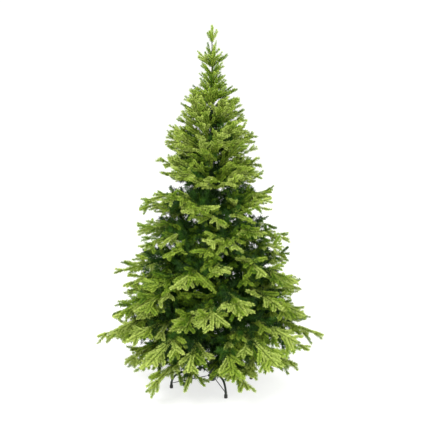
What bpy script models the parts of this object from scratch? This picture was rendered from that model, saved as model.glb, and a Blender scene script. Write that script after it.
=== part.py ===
"""Artificial Christmas tree, 2.2 m tall, on a folding metal stand with four legs.

Metres, +Z up. The origin is on the floor, under the pole. -Y is the front.
A steel pole runs up through nine tiers of hinged branches and carries a wired leader.
Each branch is one solid: a wire that forks near the pole, with sprays of needles fused on.
A spray is a toothed blade with a raised middle, and each tooth stands for one finger of needles.
"""

import math
import random

import bmesh
import bpy
from mathutils import Matrix, Vector

GAP = 0.0003  # kept between solids that touch on the real tree

# The crown
TREE_HEIGHT = 2.20
FIRST_TIER = 0.28  # height of the lowest hinges on the pole
TIER_STEP = 0.165
ARCH_SHARE = 0.055  # height of a branch's arch over its reach
OUTER_SLAB = 0.085  # over the highest tier and under the lowest
SLAB_MARGIN = 0.004  # a branch keeps this far from the middle between two tiers
SIDE_MARGIN = 0.003  # how far it stays from its neighbours' sectors
FLOOR_CLEARANCE = 0.030
LEAN_TO_LEFT = 0.035  # the crown reaches further to the left, by this share
WIDEST_LEAN = 0.004  # and by this share in the widest tier

# The tiers from the bottom: how many branches, the turn of the first one in degrees,
# the tips' height over their hinges, and the reach
TIERS = [
    {"count": 6, "turn": -8.0, "lift": -0.150, "reach": 0.550},
    {"count": 6, "turn": 0.0, "lift": -0.150, "reach": 0.715},
    {"count": 6, "turn": 30.0, "lift": -0.108, "reach": 0.640},
    {"count": 5, "turn": 36.0, "lift": -0.070, "reach": 0.590},
    {"count": 5, "turn": 0.0, "lift": -0.036, "reach": 0.490},
    {"count": 5, "turn": 36.0, "lift": 0.000, "reach": 0.430},
    {"count": 4, "turn": 50.0, "lift": 0.036, "reach": 0.340},
    {"count": 4, "turn": 8.0, "lift": 0.072, "reach": 0.280},
    {"count": 4, "turn": 35.0, "lift": 0.098, "reach": 0.190},
]
WIDEST_TIER = 1
FORKING_TIERS = 8  # the tiers above this one have branches that don't fork

# The wires of a branch
FORK_AT = 0.16  # share of the reach where the side wires leave
SIDE_WIRE_SHARE = 0.64  # turn of a side wire's tip, as a share of the half sector
SIDE_WIRE_RISE = 0.58  # towards the middle between two tiers
WIRE_ROOT_RADIUS = 0.0060
WIRE_TIP_RADIUS = 0.0042
WIRE_SIDES = 3
BRACKET_LENGTH = 0.018  # the level stretch at the hinge
CLOSEST_KNOT = 0.02

# The sprays
SPRAY_LENGTHS = (0.125, 0.27)
TIP_SPRAY_SHARE = 0.34  # of the reach
SIDE_SPRAY_SHARE = 0.41
MAIN_SIDE_SPRAYS = (0.27, 0.54, 0.84)  # places along the stem
SIDE_WIRE_SPRAYS = {"low": (0.66,), "high": (0.42, 0.80)}
HIGH_TIERS = 4  # from this tier up the side wires carry the second set
SPRAY_WIDTH_SHARE = 0.34  # half width over length
SPRAY_THICKNESS_SHARE = 0.065  # half thickness over length
NOTCH_SHARE = 0.28  # half width at a notch, over that at a tooth
TOOTH_SWEEP = 0.17  # of a tooth over its notch, over the length
TIP_FINGER_SHARE = 0.42  # of the length
SPRAY_ANGLE = 46.0
SPRAY_RISE = (0.10, 0.50)  # of a spray's direction, up or down
SPRAY_ROLL = (25.0, 85.0)  # from level, to either side
ROOT_SUNK = 0.002  # past the wire's axis
TIP_OVERLAP = 0.012  # of a tip spray and its wire

# The pole: each section's radius and the height where it ends
POLE_FOOT = 0.026
POLE_SECTIONS = [(0.0160, 0.86), (0.0140, 1.36), (0.0105, 1.715)]
POLE_SIDES = 16
CRIMP = 0.012  # length of the cone between two sections

# The leader: whorls of small shoots round the wire that goes on from the pole
LEADER_WIRE = (0.0055, 0.0030)
LEADER_FINGER_LENGTH = 0.085
LEADER_FINGER_WIDTH = 0.011
SMALLEST_FORKED_REACH = 0.06  # a shoot that reaches less is one finger
WHORLS = [
    {"height": 1.745, "count": 5, "reach": 0.140, "lift": 0.070, "turn": 20.0},
    {"height": 1.795, "count": 4, "reach": 0.104, "lift": 0.062, "turn": 50.0},
    {"height": 1.845, "count": 4, "reach": 0.086, "lift": 0.056, "turn": 5.0},
    {"height": 1.900, "count": 4, "reach": 0.092, "lift": 0.056, "turn": 48.0},
    {"height": 1.955, "count": 5, "reach": 0.098, "lift": 0.062, "turn": 0.0},
    {"height": 1.972, "count": 3, "reach": 0.036, "lift": 0.100, "turn": 65.0},
    {"height": 2.100, "count": 3, "reach": 0.036, "lift": 0.055, "turn": 0.0},
]

# The stand
LEG_TURN = 18.1  # of the first leg, in degrees
LEG_COUNT = 4
LEG_RADIUS = 0.0065
FOOT_CIRCLE = 0.262
LEG_SLOPE = 6.0
LEG_BEND = 0.070
BEND_STEPS = 5
SHIN_TOP = 0.023  # height where the leg has become upright
RUBBER_RADIUS = 0.0105
RUBBER_HEIGHT = 0.021
RUBBER_SOLE = 0.006
RUBBER_EDGE = 0.0015
RUBBER_SIDES = 10
SOCKET_WALL = 0.0028
SOCKET_TOP = 0.168
SOCKET_FLOOR = 0.004  # thickness of the plate that the pole stands on
UPPER_RING = (0.120, 0.0030, 0.034)  # underside, thickness, radius
LOWER_RING = (0.050, 0.0060, 0.027)
CLEVIS = (0.0025, 0.022, 0.017)  # thickness, height, length of an ear
BRACE_RADIUS = 0.0026
BRACE_OUTER_HEIGHT = 0.032
SCREW_HEIGHT = 0.148
SCREW_RADIUS = 0.0030
SCREW_LENGTH = 0.024
SCREW_COUNT = 3
SCREW_HEAD = (0.0075, 0.0040)  # radius and thickness

COLOURS = {
    "needles": (0.16, 0.30, 0.03, 1.0),
    "pole_paint": (0.015, 0.035, 0.018, 1.0),
    "stand_paint": (0.012, 0.018, 0.014, 1.0),
    "rubber": (0.010, 0.010, 0.010, 1.0),
}


def clear_scene():
    for obj in list(bpy.data.objects):
        bpy.data.objects.remove(obj, do_unlink=True)


def make_material(name, roughness, metallic=0.0):
    material = bpy.data.materials.new(name)
    material.use_nodes = True
    shader = material.node_tree.nodes["Principled BSDF"]
    shader.inputs["Base Color"].default_value = COLOURS[name]
    shader.inputs["Roughness"].default_value = roughness
    shader.inputs["Metallic"].default_value = metallic
    return material


def new_collection(name):
    collection = bpy.data.collections.new(name)
    bpy.context.scene.collection.children.link(collection)
    return collection


def link_mesh(name, mesh, collection):
    obj = bpy.data.objects.new(name, mesh)
    collection.objects.link(obj)
    return obj


def baked_mesh(obj):
    """The object's evaluated mesh in world space, with a curve's caps welded on."""
    bpy.context.view_layer.update()
    graph = bpy.context.evaluated_depsgraph_get()
    mesh = bpy.data.meshes.new_from_object(obj.evaluated_get(graph))
    mesh.transform(obj.matrix_world)
    work = bmesh.new()
    work.from_mesh(mesh)
    bmesh.ops.remove_doubles(work, verts=work.verts, dist=1e-6)
    bmesh.ops.recalc_face_normals(work, faces=work.faces)
    work.to_mesh(mesh)
    work.free()
    return mesh


def join_solids(name, solids, collection, material):
    """One Boolean union of all the solids, which are then removed."""
    base, others = solids[0], solids[1:]
    cutters = new_collection(name + "_pieces")
    for other in others:
        collection.objects.unlink(other)
        cutters.objects.link(other)
    union = base.modifiers.new("join", "BOOLEAN")
    union.operation = "UNION"
    union.operand_type = "COLLECTION"
    union.collection = cutters
    union.solver = "MANIFOLD"
    joined = baked_mesh(base)
    for solid in solids:
        bpy.data.objects.remove(solid, do_unlink=True)
    bpy.data.collections.remove(cutters)
    joined.materials.clear()
    joined.materials.append(material)
    return link_mesh(name, joined, collection)


def wire_solid(points, radii, sides, collection):
    """A tapering wire along the points: a poly curve with a round section of a few sides."""
    section = bpy.data.curves.new("section", "CURVE")
    section.dimensions = "2D"
    ring = section.splines.new("POLY")
    ring.points.add(sides - 1)
    ring.use_cyclic_u = True
    for i in range(sides):
        turn = 2 * math.pi * i / sides
        ring.points[i].co = (math.cos(turn), math.sin(turn), 0.0, 1.0)
    profile = bpy.data.objects.new("section", section)
    collection.objects.link(profile)

    path = bpy.data.curves.new("wire", "CURVE")
    path.dimensions = "3D"
    path.bevel_mode = "OBJECT"
    path.bevel_object = profile
    path.use_fill_caps = True
    spline = path.splines.new("POLY")
    spline.points.add(len(points) - 1)
    for knot, place, radius in zip(spline.points, points, radii):
        knot.co = (*place, 1.0)
        knot.radius = radius
    curve = bpy.data.objects.new("wire", path)
    collection.objects.link(curve)
    mesh = baked_mesh(curve)
    for helper in (curve, profile):
        bpy.data.objects.remove(helper, do_unlink=True)
    return link_mesh("wire", mesh, collection)


def spray_mesh(length, pairs):
    """A closed toothed blade along +X, pointed at its root, with a rib down the middle of both faces."""
    work = bmesh.new()
    half_width = length * SPRAY_WIDTH_SHARE
    notch = half_width * NOTCH_SHARE
    rib = length * SPRAY_THICKNESS_SHARE
    body = length * (1.0 - TIP_FINGER_SHARE)

    def fan(hub, rim):
        for one, other in zip(rim, rim[1:]):
            if len({hub, one, other}) == 3:
                work.faces.new((hub, one, other))

    behind = [work.verts.new((0.0, 0.0, 0.0))] * 4
    for i in range(pairs):
        narrowing = 1.0 - 0.28 * i
        x = body * (i + 1) / pairs
        corners = ((notch, 0.0), (0.0, rib), (-notch, 0.0), (0.0, -rib))
        ahead = [work.verts.new((x, y, z)) for y, z in corners]
        tooth_x = x + length * TOOTH_SWEEP * narrowing
        for side, left in ((1, 0), (-1, 2)):
            tooth = work.verts.new((tooth_x, side * half_width * narrowing, 0.0))
            for rim in (1, 3):
                fan(tooth, [behind[left], behind[rim], ahead[rim], ahead[left]])
        behind = ahead
    end = work.verts.new((length, 0.0, 0.0))
    for left in (0, 2):
        for rim in (1, 3):
            work.faces.new((behind[left], behind[rim], end))
    bmesh.ops.recalc_face_normals(work, faces=work.faces)
    mesh = bpy.data.meshes.new("spray")
    work.to_mesh(mesh)
    work.free()
    return mesh


def finger_mesh(length, half_width, root_share):
    """A single finger of needles along +X: a five-sided spindle, widest past its middle."""
    work = bmesh.new()
    root = half_width * root_share
    bmesh.ops.create_cone(
        work, cap_ends=True, segments=5, radius1=root, radius2=half_width, depth=length * 0.6
    )
    bmesh.ops.translate(work, verts=work.verts, vec=(0.0, 0.0, length * 0.3))
    work.normal_update()
    top = [face for face in work.faces if face.normal.z > 0.9]
    bmesh.ops.poke(work, faces=top, offset=length * 0.4)
    bmesh.ops.rotate(work, verts=work.verts, matrix=Matrix.Rotation(math.pi / 2, 3, "Y"))
    mesh = bpy.data.meshes.new("finger")
    work.to_mesh(mesh)
    work.free()
    return mesh


def placing(origin, direction, roll):
    """A matrix that lays +X along direction and turns the blade round it, from level."""
    ahead = direction.normalized()
    across = Vector((0.0, 0.0, 1.0)).cross(ahead)
    if across.length < 1e-4:
        across = Vector((0.0, 1.0, 0.0))
    across.normalize()
    up = ahead.cross(across)
    frame = Matrix((ahead, across, up)).transposed().to_4x4()
    return Matrix.Translation(origin) @ frame @ Matrix.Rotation(roll, 4, "X")


def pole_radius(height):
    for radius, top in POLE_SECTIONS:
        if height < top:
            return radius
    return POLE_SECTIONS[-1][0]


def hinge_height(index):
    return FIRST_TIER + TIER_STEP * index


def share_out(index, radius):
    """How far along a tier's reach this distance from the pole is."""
    start = pole_radius(hinge_height(index)) + BRACKET_LENGTH
    return max(0.0, (radius - start) / (TIERS[index]["reach"] - start))


def surface_height(index, radius):
    """Height of the tier's own surface at this distance from the pole."""
    share = share_out(index, radius)
    arch = 4.0 * ARCH_SHARE * TIERS[index]["reach"] * share * (1.0 - share)
    return hinge_height(index) + TIERS[index]["lift"] * share + arch


def slab(index, radius):
    """The lowest and highest places a branch may reach at this distance from the pole."""
    own = surface_height(index, radius)
    below = surface_height(index - 1, radius) if index else own - 2 * OUTER_SLAB
    above = surface_height(index + 1, radius) if index + 1 < len(TIERS) else own + 2 * OUTER_SLAB
    return (own + below) / 2 + SLAB_MARGIN, (own + above) / 2 - SLAB_MARGIN


def polar(radius, turn, height):
    return Vector((radius * math.cos(turn), radius * math.sin(turn), height))


def branch_wires(index, place):
    """The wires of one branch, each as a list of points from root to tip, by a seeded rule."""
    draw = random.Random(1000 + 50 * index + place)
    hinge = hinge_height(index)
    count = TIERS[index]["count"]
    turn = math.radians(TIERS[index]["turn"]) + 2 * math.pi * place / count
    half_sector = math.pi / count
    lean = WIDEST_LEAN if index == WIDEST_TIER else LEAN_TO_LEFT
    reach = TIERS[index]["reach"] * (1.0 - lean * math.cos(turn)) * draw.uniform(0.95, 1.0)
    root = pole_radius(hinge) + GAP
    bracket_end = root + BRACKET_LENGTH

    main = [polar(root, turn, hinge), polar(bracket_end, turn, hinge)]
    for step in (FORK_AT, 0.55, 1.0):
        radius = bracket_end + (reach - bracket_end) * step
        main.append(polar(radius, turn, surface_height(index, radius)))
    wires = [main]
    if index >= FORKING_TIERS:
        return wires, turn, reach, (0,)
    upper = draw.choice((-1, 1))
    fork = main[2]
    for side in (-1, 1):
        tip_turn = turn + side * half_sector * SIDE_WIRE_SHARE * draw.uniform(0.92, 1.06)
        tip_radius = reach * draw.uniform(0.84, 0.95)
        tip = polar(tip_radius, tip_turn, 0.0)
        wire = [main[2].lerp(main[1], 0.15)]
        for step in (0.5, 1.0):
            flat = fork.lerp(tip, step)
            radius = math.hypot(flat.x, flat.y)
            own = surface_height(index, radius)
            limit = slab(index, radius)[side * upper > 0]
            wire.append(Vector((flat.x, flat.y, own + (limit - own) * SIDE_WIRE_RISE)))
        wires.append(wire)
    return wires, turn, reach, (0, -upper, upper)


def along(points, share):
    """The place and direction at this share of a wire's length."""
    lengths = [(b - a).length for a, b in zip(points, points[1:])]
    left = share * sum(lengths)
    for i, length in enumerate(lengths):
        if left <= length or i == len(lengths) - 1:
            step = points[i + 1] - points[i]
            return points[i] + step * (left / length), step.normalized()
        left -= length


def shortened(points, share):
    """The wire's first part, without a knot close to its new end."""
    end, _ = along(points, share)
    left = share * sum((b - a).length for a, b in zip(points, points[1:])) - CLOSEST_KNOT
    kept = [points[0]]
    for a, b in zip(points, points[1:]):
        left -= (b - a).length
        if left < 0:
            break
        kept.append(b)
    return [*kept, end]


def in_space(points, index, turn, half_sector, reach):
    """True if every point keeps to the branch's own space."""
    for point in points:
        radius = math.hypot(point.x, point.y)
        off = math.remainder(math.atan2(point.y, point.x) - turn, 2 * math.pi)
        if abs(off) > half_sector - SIDE_MARGIN / max(radius, 0.01):
            return False
        low, high = slab(index, radius)
        if not low < point.z < high:
            return False
        if point.z < FLOOR_CLEARANCE or radius > reach + 0.002:
            return False
    return True


def fitting_spray(spot, direction, length, pairs, roll, space, collection):
    """A spray rooted in its wire, made shorter if it would leave the branch's space, or else left out."""
    for scale in (1.0, 0.88, 0.76, 0.64):
        mesh = spray_mesh(length * scale, pairs)
        mesh.transform(placing(spot - direction.normalized() * ROOT_SUNK, direction, roll))
        if in_space([vertex.co for vertex in mesh.vertices], *space):
            return [link_mesh("spray", mesh, collection)]
        bpy.data.meshes.remove(mesh)
    return []


def make_branch(index, place, collection, material):
    wires, turn, reach, trends = branch_wires(index, place)
    draw = random.Random(5000 + 50 * index + place)
    space = (index, turn, math.pi / TIERS[index]["count"], reach)
    shortest, longest = SPRAY_LENGTHS
    tip_length = min(longest, max(shortest, TIP_SPRAY_SHARE * reach))
    side_length = min(longest, max(shortest, SIDE_SPRAY_SHARE * reach))
    level = "high" if index >= HIGH_TIERS else "low"
    pieces = []
    for points, trend in zip(wires, trends):
        is_main = trend == 0
        total = sum((b - a).length for a, b in zip(points, points[1:]))
        stem_share = 1.0 - 0.9 * tip_length / total
        stem = shortened(points, stem_share)
        stem_end = stem[-1]
        thickest = WIRE_ROOT_RADIUS if is_main else WIRE_ROOT_RADIUS * 0.8
        thinning = (WIRE_TIP_RADIUS - thickest) / (len(stem) - 1)
        radii = [thickest + thinning * i for i in range(len(stem))]
        pieces.append(wire_solid(stem, radii, WIRE_SIDES, collection))

        tip = points[-1] - stem_end
        root = stem_end - (stem_end - stem[-2]).normalized() * TIP_OVERLAP
        roll = math.radians(draw.uniform(*SPRAY_ROLL) * 0.6) * draw.choice((-1, 1))
        pairs = 2 if is_main or level == "low" else 1
        length = tip.length + TIP_OVERLAP
        pieces += fitting_spray(root, points[-1] - root, length, pairs, roll, space, collection)
        hand = draw.choice((-1, 1))
        for share in MAIN_SIDE_SPRAYS if is_main else SIDE_WIRE_SPRAYS[level]:
            spot, direction = along(stem, share)
            swing = math.radians(SPRAY_ANGLE + draw.uniform(-8, 8)) * hand
            out = Matrix.Rotation(swing, 3, "Z") @ direction
            out.z += draw.uniform(*SPRAY_RISE) * (trend or draw.choice((-1, 1)))
            roll = math.radians(draw.uniform(*SPRAY_ROLL)) * draw.choice((-1, 1))
            size = side_length * draw.uniform(0.85, 1.0)
            pieces += fitting_spray(spot, out, size, 1 + (level == "low"), roll, space, collection)
            hand = -hand
    name = f"tier_{index + 1}_branch_{place + 1}"
    return join_solids(name, pieces, collection, material)


def make_leader(collection, material):
    """The wire over the pole, with whorls of small shoots and the top finger."""
    draw = random.Random(77)
    foot = POLE_SECTIONS[-1][1] + GAP
    finger_foot = TREE_HEIGHT - LEADER_FINGER_LENGTH
    heights = [foot, 1.90, finger_foot + 0.01]
    first, last = LEADER_WIRE
    radii = [first + (last - first) * i / (len(heights) - 1) for i in range(len(heights))]
    pieces = [wire_solid([Vector((0, 0, z)) for z in heights], radii, 5, collection)]

    def add(mesh, root, direction, roll):
        mesh.transform(placing(root, direction, roll))
        pieces.append(link_mesh("shoot", mesh, collection))

    top = finger_mesh(LEADER_FINGER_LENGTH, LEADER_FINGER_WIDTH, 0.35)
    add(top, Vector((0, 0, finger_foot)), Vector((0, 0, 1)), 0.0)
    for whorl in WHORLS:
        for i in range(whorl["count"]):
            turn = math.radians(whorl["turn"] + 360.0 * i / whorl["count"] + draw.uniform(-8, 8))
            reach = whorl["reach"] * draw.uniform(0.88, 1.0)
            root = Vector((0, 0, whorl["height"] + 0.004 * (i % 2)))
            tip = polar(reach, turn, whorl["height"] + whorl["lift"] * draw.uniform(0.9, 1.1))
            out = tip - root
            roll = math.radians(draw.uniform(-60, 60))
            single = whorl["reach"] < SMALLEST_FORKED_REACH
            shoot = finger_mesh(out.length, 0.0085, 0.35) if single else spray_mesh(out.length, 1)
            add(shoot, root, out, roll)
    return join_solids("leader", pieces, collection, material)


def turned(name, profile, sides, collection, material):
    """A round solid from a profile of (radius, height): from the top of the axis, down the outer side."""
    mesh = bpy.data.meshes.new(name)
    vertices = [(radius, 0.0, height) for radius, height in profile]
    edges = [(i, i + 1) for i in range(len(profile) - 1)]
    mesh.from_pydata(vertices, edges, [])
    obj = link_mesh(name, mesh, collection)
    screw = obj.modifiers.new("turn", "SCREW")
    screw.steps = screw.render_steps = sides
    screw.use_merge_vertices = True
    screw.merge_threshold = 1e-5
    screw.use_smooth_shade = False
    mesh.materials.append(material)
    return obj


def make_pole(collection, material):
    profile = [(0.0, POLE_SECTIONS[-1][1])]
    for i in reversed(range(len(POLE_SECTIONS))):
        radius, top = POLE_SECTIONS[i]
        profile.append((radius, top))
        foot = POLE_SECTIONS[i - 1][1] + CRIMP if i else POLE_FOOT
        profile.append((radius, foot))
    profile.append((0.0, POLE_FOOT))
    return turned("pole", profile, POLE_SIDES, collection, material)


def box(name, size, centre, collection):
    mesh = bpy.data.meshes.new(name)
    work = bmesh.new()
    bmesh.ops.create_cube(work, size=1.0)
    bmesh.ops.scale(work, verts=work.verts, vec=size)
    bmesh.ops.translate(work, verts=work.verts, vec=centre)
    work.to_mesh(mesh)
    work.free()
    return link_mesh(name, mesh, collection)


def rod(name, radius, length, centre, axis, sides, collection):
    """A plain cylinder about its centre, along axis."""
    mesh = bpy.data.meshes.new(name)
    work = bmesh.new()
    bmesh.ops.create_cone(work, cap_ends=True, segments=sides, radius1=radius, radius2=radius, depth=length)
    turn = Vector((0.0, 0.0, 1.0)).rotation_difference(Vector(axis)).to_matrix()
    bmesh.ops.rotate(work, verts=work.verts, matrix=turn)
    bmesh.ops.translate(work, verts=work.verts, vec=centre)
    work.to_mesh(mesh)
    work.free()
    return link_mesh(name, mesh, collection)


def leg_turns():
    return [math.radians(LEG_TURN + 360.0 * i / LEG_COUNT) for i in range(LEG_COUNT)]


def make_socket(collection, material):
    """The tube that holds the pole, with two rings, an ear on each side of every leg, and thumb screws."""
    bore = POLE_SECTIONS[0][0] + GAP
    outer = bore + SOCKET_WALL
    floor = POLE_FOOT - GAP
    low_z, low_thick, low_radius = LOWER_RING
    high_z, high_thick, high_radius = UPPER_RING
    profile = [
        (0.0, floor), (bore, floor), (bore, SOCKET_TOP), (outer, SOCKET_TOP),
        (outer, high_z + high_thick), (high_radius, high_z + high_thick),
        (high_radius, high_z), (outer, high_z),
        (outer, low_z + low_thick), (low_radius, low_z + low_thick),
        (low_radius, low_z), (outer, low_z),
        (outer, floor - SOCKET_FLOOR), (0.0, floor - SOCKET_FLOOR),
    ]
    tube = turned("tube", profile, POLE_SIDES, collection, material)
    tube_mesh = baked_mesh(tube)
    bpy.data.objects.remove(tube, do_unlink=True)
    pieces = [link_mesh("tube", tube_mesh, collection)]
    thick, tall, long = CLEVIS
    for turn in leg_turns():
        spin = Matrix.Rotation(turn, 4, "Z")
        for side in (-1, 1):
            across = side * (LEG_RADIUS + GAP + thick / 2)
            ear_centre = (outer + long / 2 - 0.001, across, high_z - tall / 2 + 0.001)
            ear = box("ear", (long, thick, tall), ear_centre, collection)
            head_centre = (outer + long * 0.6, across + side * (thick / 2 + 0.0012), high_z - tall * 0.55)
            head = rod("head", 0.0042, 0.004, head_centre, (0, 1, 0), 5, collection)
            for piece in (ear, head):
                piece.data.transform(spin)
                pieces.append(piece)
    head_radius, head_thick = SCREW_HEAD
    for i in range(SCREW_COUNT):
        spin = Matrix.Rotation(2 * math.pi * i / SCREW_COUNT + math.radians(50), 4, "Z")
        start = bore + 0.0008
        middle = (start + SCREW_LENGTH / 2, 0, SCREW_HEIGHT)
        shank = rod("shank", SCREW_RADIUS, SCREW_LENGTH, middle, (1, 0, 0), 6, collection)
        middle = (start + SCREW_LENGTH + head_radius * 0.8, 0, SCREW_HEIGHT)
        wing = rod("wing", head_radius, head_thick, middle, (0, 1, 0), 8, collection)
        for piece in (shank, wing):
            piece.data.transform(spin)
            pieces.append(piece)
    return join_solids("stand_socket", pieces, collection, material)


def leg_line():
    """The leg's centre line as (distance from the pole, height): a slope, one bend and an upright end."""
    hip = POLE_SECTIONS[0][0] + GAP + SOCKET_WALL + 0.0012
    centre = (FOOT_CIRCLE - LEG_BEND, SHIN_TOP)
    slope = math.radians(LEG_SLOPE)
    line = []
    for i in range(BEND_STEPS + 1):
        turn = slope + (math.pi / 2 - slope) * i / BEND_STEPS
        line.append((centre[0] + LEG_BEND * math.sin(turn), centre[1] + LEG_BEND * math.cos(turn)))
    start = line[0]
    hip_height = start[1] + (start[0] - hip) * math.tan(slope)
    return [(hip, hip_height), *line, (FOOT_CIRCLE, RUBBER_SOLE + GAP)]


def tube_curve(name, line, radius, turn, collection, material):
    """A round bar along (distance, height) points, in the upright plane at this turn."""
    path = bpy.data.curves.new(name, "CURVE")
    path.dimensions = "3D"
    path.bevel_depth = radius
    path.bevel_resolution = 2
    path.use_fill_caps = True
    spline = path.splines.new("POLY")
    spline.points.add(len(line) - 1)
    for knot, (distance, height) in zip(spline.points, line):
        knot.co = (distance, 0.0, height, 1.0)
    path.materials.append(material)
    obj = bpy.data.objects.new(name, path)
    obj.rotation_euler.z = turn
    collection.objects.link(obj)
    return obj


def make_stand(collection, paint, rubber):
    make_socket(collection, paint)
    low_z, low_thick, low_radius = LOWER_RING
    shin_drop = BRACE_OUTER_HEIGHT - SHIN_TOP
    leg_at_brace = FOOT_CIRCLE - LEG_BEND + math.sqrt(LEG_BEND ** 2 - shin_drop ** 2)
    brace = [
        (low_radius + 2 * GAP, low_z + low_thick / 2),
        (leg_at_brace - LEG_RADIUS - 5 * GAP, BRACE_OUTER_HEIGHT),
    ]
    bore = LEG_RADIUS + 2 * GAP
    foot_profile = [
        (0.0, RUBBER_SOLE), (bore, RUBBER_SOLE), (bore, RUBBER_HEIGHT),
        (RUBBER_RADIUS - RUBBER_EDGE, RUBBER_HEIGHT), (RUBBER_RADIUS, RUBBER_HEIGHT - RUBBER_EDGE),
        (RUBBER_RADIUS, RUBBER_EDGE), (RUBBER_RADIUS - RUBBER_EDGE, 0.0), (0.0, 0.0),
    ]
    for i, turn in enumerate(leg_turns()):
        tube_curve(f"stand_leg_{i + 1}", leg_line(), LEG_RADIUS, turn, collection, paint)
        tube_curve(f"stand_brace_{i + 1}", brace, BRACE_RADIUS, turn, collection, paint)
        foot = turned(f"stand_foot_{i + 1}", foot_profile, RUBBER_SIDES, collection, rubber)
        foot.location = polar(FOOT_CIRCLE, turn, 0.0)


def main():
    clear_scene()
    needles = make_material("needles", 0.55)
    pole_paint = make_material("pole_paint", 0.45)
    stand_paint = make_material("stand_paint", 0.40)
    rubber = make_material("rubber", 0.80)
    tree = new_collection("christmas_tree")
    make_stand(tree, stand_paint, rubber)
    make_pole(tree, pole_paint)
    for index, tier in enumerate(TIERS):
        for place in range(tier["count"]):
            make_branch(index, place, tree, needles)
    make_leader(tree, needles)


main()
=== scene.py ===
import math
import random

import bpy
import numpy as np
from mathutils import Matrix, Vector


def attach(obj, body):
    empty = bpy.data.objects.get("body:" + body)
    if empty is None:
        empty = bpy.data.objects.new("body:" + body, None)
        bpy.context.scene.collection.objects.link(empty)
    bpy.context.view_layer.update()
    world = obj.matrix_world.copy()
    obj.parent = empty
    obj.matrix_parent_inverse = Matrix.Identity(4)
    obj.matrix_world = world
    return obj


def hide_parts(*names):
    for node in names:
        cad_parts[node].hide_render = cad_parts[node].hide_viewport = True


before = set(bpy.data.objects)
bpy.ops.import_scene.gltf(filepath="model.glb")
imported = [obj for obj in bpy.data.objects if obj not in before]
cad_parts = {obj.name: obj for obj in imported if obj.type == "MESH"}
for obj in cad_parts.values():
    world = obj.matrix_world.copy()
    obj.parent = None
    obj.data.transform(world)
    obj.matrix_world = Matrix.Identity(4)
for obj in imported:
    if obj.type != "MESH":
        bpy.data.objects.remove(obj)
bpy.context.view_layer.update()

# Artificial Christmas tree on a folding metal stand. Metres, +Z up, -Y is the front.
# The wires follow the same seeded rule as the solids and then carry finer twigs and needles.

# How the crown is laid out on the pole
crown = {
    "firstTier": 0.28,
    "tierStep": 0.165,
    "archShare": 0.055,
    "outerSlab": 0.085,
    "slabMargin": 0.004,
    "sideMargin": 0.003,
    "floorClearance": 0.030,
    "leanToLeft": 0.035,
    "widestLean": 0.004,
    "widestTier": 1,
    "forkingTiers": 8,
    "forkAt": 0.16,
    "sideWireShare": 0.64,
    "sideWireRise": 0.58,
    "bracketLength": 0.018,
    "gap": 0.0003,
    "treeHeight": 2.20,
}
# From the bottom: branches, turn of the first in degrees, lift of the tips, reach
tiers = [
    {"count": 6, "turn": -8.0, "lift": -0.150, "reach": 0.550},
    {"count": 6, "turn": 0.0, "lift": -0.150, "reach": 0.715},
    {"count": 6, "turn": 30.0, "lift": -0.108, "reach": 0.640},
    {"count": 5, "turn": 36.0, "lift": -0.070, "reach": 0.590},
    {"count": 5, "turn": 0.0, "lift": -0.036, "reach": 0.490},
    {"count": 5, "turn": 36.0, "lift": 0.000, "reach": 0.430},
    {"count": 4, "turn": 50.0, "lift": 0.036, "reach": 0.340},
    {"count": 4, "turn": 8.0, "lift": 0.072, "reach": 0.280},
    {"count": 4, "turn": 35.0, "lift": 0.098, "reach": 0.190},
]
poleSections = [(0.0160, 0.86), (0.0140, 1.36), (0.0105, 1.715)]  # radius, height where it ends


# Materials

def newNode(tree, kind, inputs=None, output=None, **settings):
    # A shader node, given back as its named output or else its first; an input is a value or such an output
    node = tree.nodes.new("ShaderNode" + kind)
    for name, value in settings.items():
        setattr(node, name, value)
    for name, value in (inputs or {}).items():
        if isinstance(value, bpy.types.NodeSocket):
            tree.links.new(value, node.inputs[name])
        else:
            node.inputs[name].default_value = value
    return node.outputs[output] if output else next(socket for socket in node.outputs if socket.enabled)


def newGroup(name, inputs, outputs):
    # A shader group with its sockets made, and their ends inside it
    group = bpy.data.node_groups.new(name, "ShaderNodeTree")
    for label, value in inputs.items():
        kind = "NodeSocketColor" if isinstance(value, tuple) else "NodeSocketFloat"
        group.interface.new_socket(name=label, in_out="INPUT", socket_type=kind).default_value = value
    for label in outputs:
        kind = "NodeSocketColor" if label == "Color" else "NodeSocketFloat"
        group.interface.new_socket(name=label, in_out="OUTPUT", socket_type=kind)
    return group, group.nodes.new("NodeGroupInput").outputs, group.nodes.new("NodeGroupOutput").inputs


def buildMottleGroup():
    # Patches from spray to spray, a fine grain along the needles and painted shade that darkens each needle
    # towards its root, from one colour to another
    inputs = {"Deep": (0.1, 0.2, 0.02, 1.0), "Bright": (0.3, 0.5, 0.05, 1.0), "Patch Scale": 14.0,
              "Grain Scale": 160.0}
    tree, into, out = newGroup("mottle", inputs, ("Color", "Mask"))
    where = newNode(tree, "TexCoord", output="Object")
    patches = newNode(tree, "TexNoise", {"Vector": where, "Scale": into["Patch Scale"], "Detail": 2.0})
    grain = newNode(tree, "TexNoise", {"Vector": where, "Scale": into["Grain Scale"], "Detail": 1.0})
    # Painted shade: each needle goes darker towards its root, where the needles crowd round their stem
    rootToTip = newNode(tree, "Attribute", output="Fac", attribute_name="along")
    grainAndRootShade = newNode(tree, "Math", {0: rootToTip, 1: 0.60, 2: grain}, operation="MULTIPLY_ADD")
    both = newNode(tree, "Math", {0: patches, 1: grainAndRootShade}, operation="ADD")
    spread = newNode(tree, "MapRange", {"Value": both, "From Min": 0.90, "From Max": 1.58})
    mixed = newNode(tree, "Mix", {"Factor": spread, "A": into["Deep"], "B": into["Bright"]}, data_type="RGBA")
    tree.links.new(mixed, out["Color"])
    tree.links.new(spread, out["Mask"])
    return tree


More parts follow.
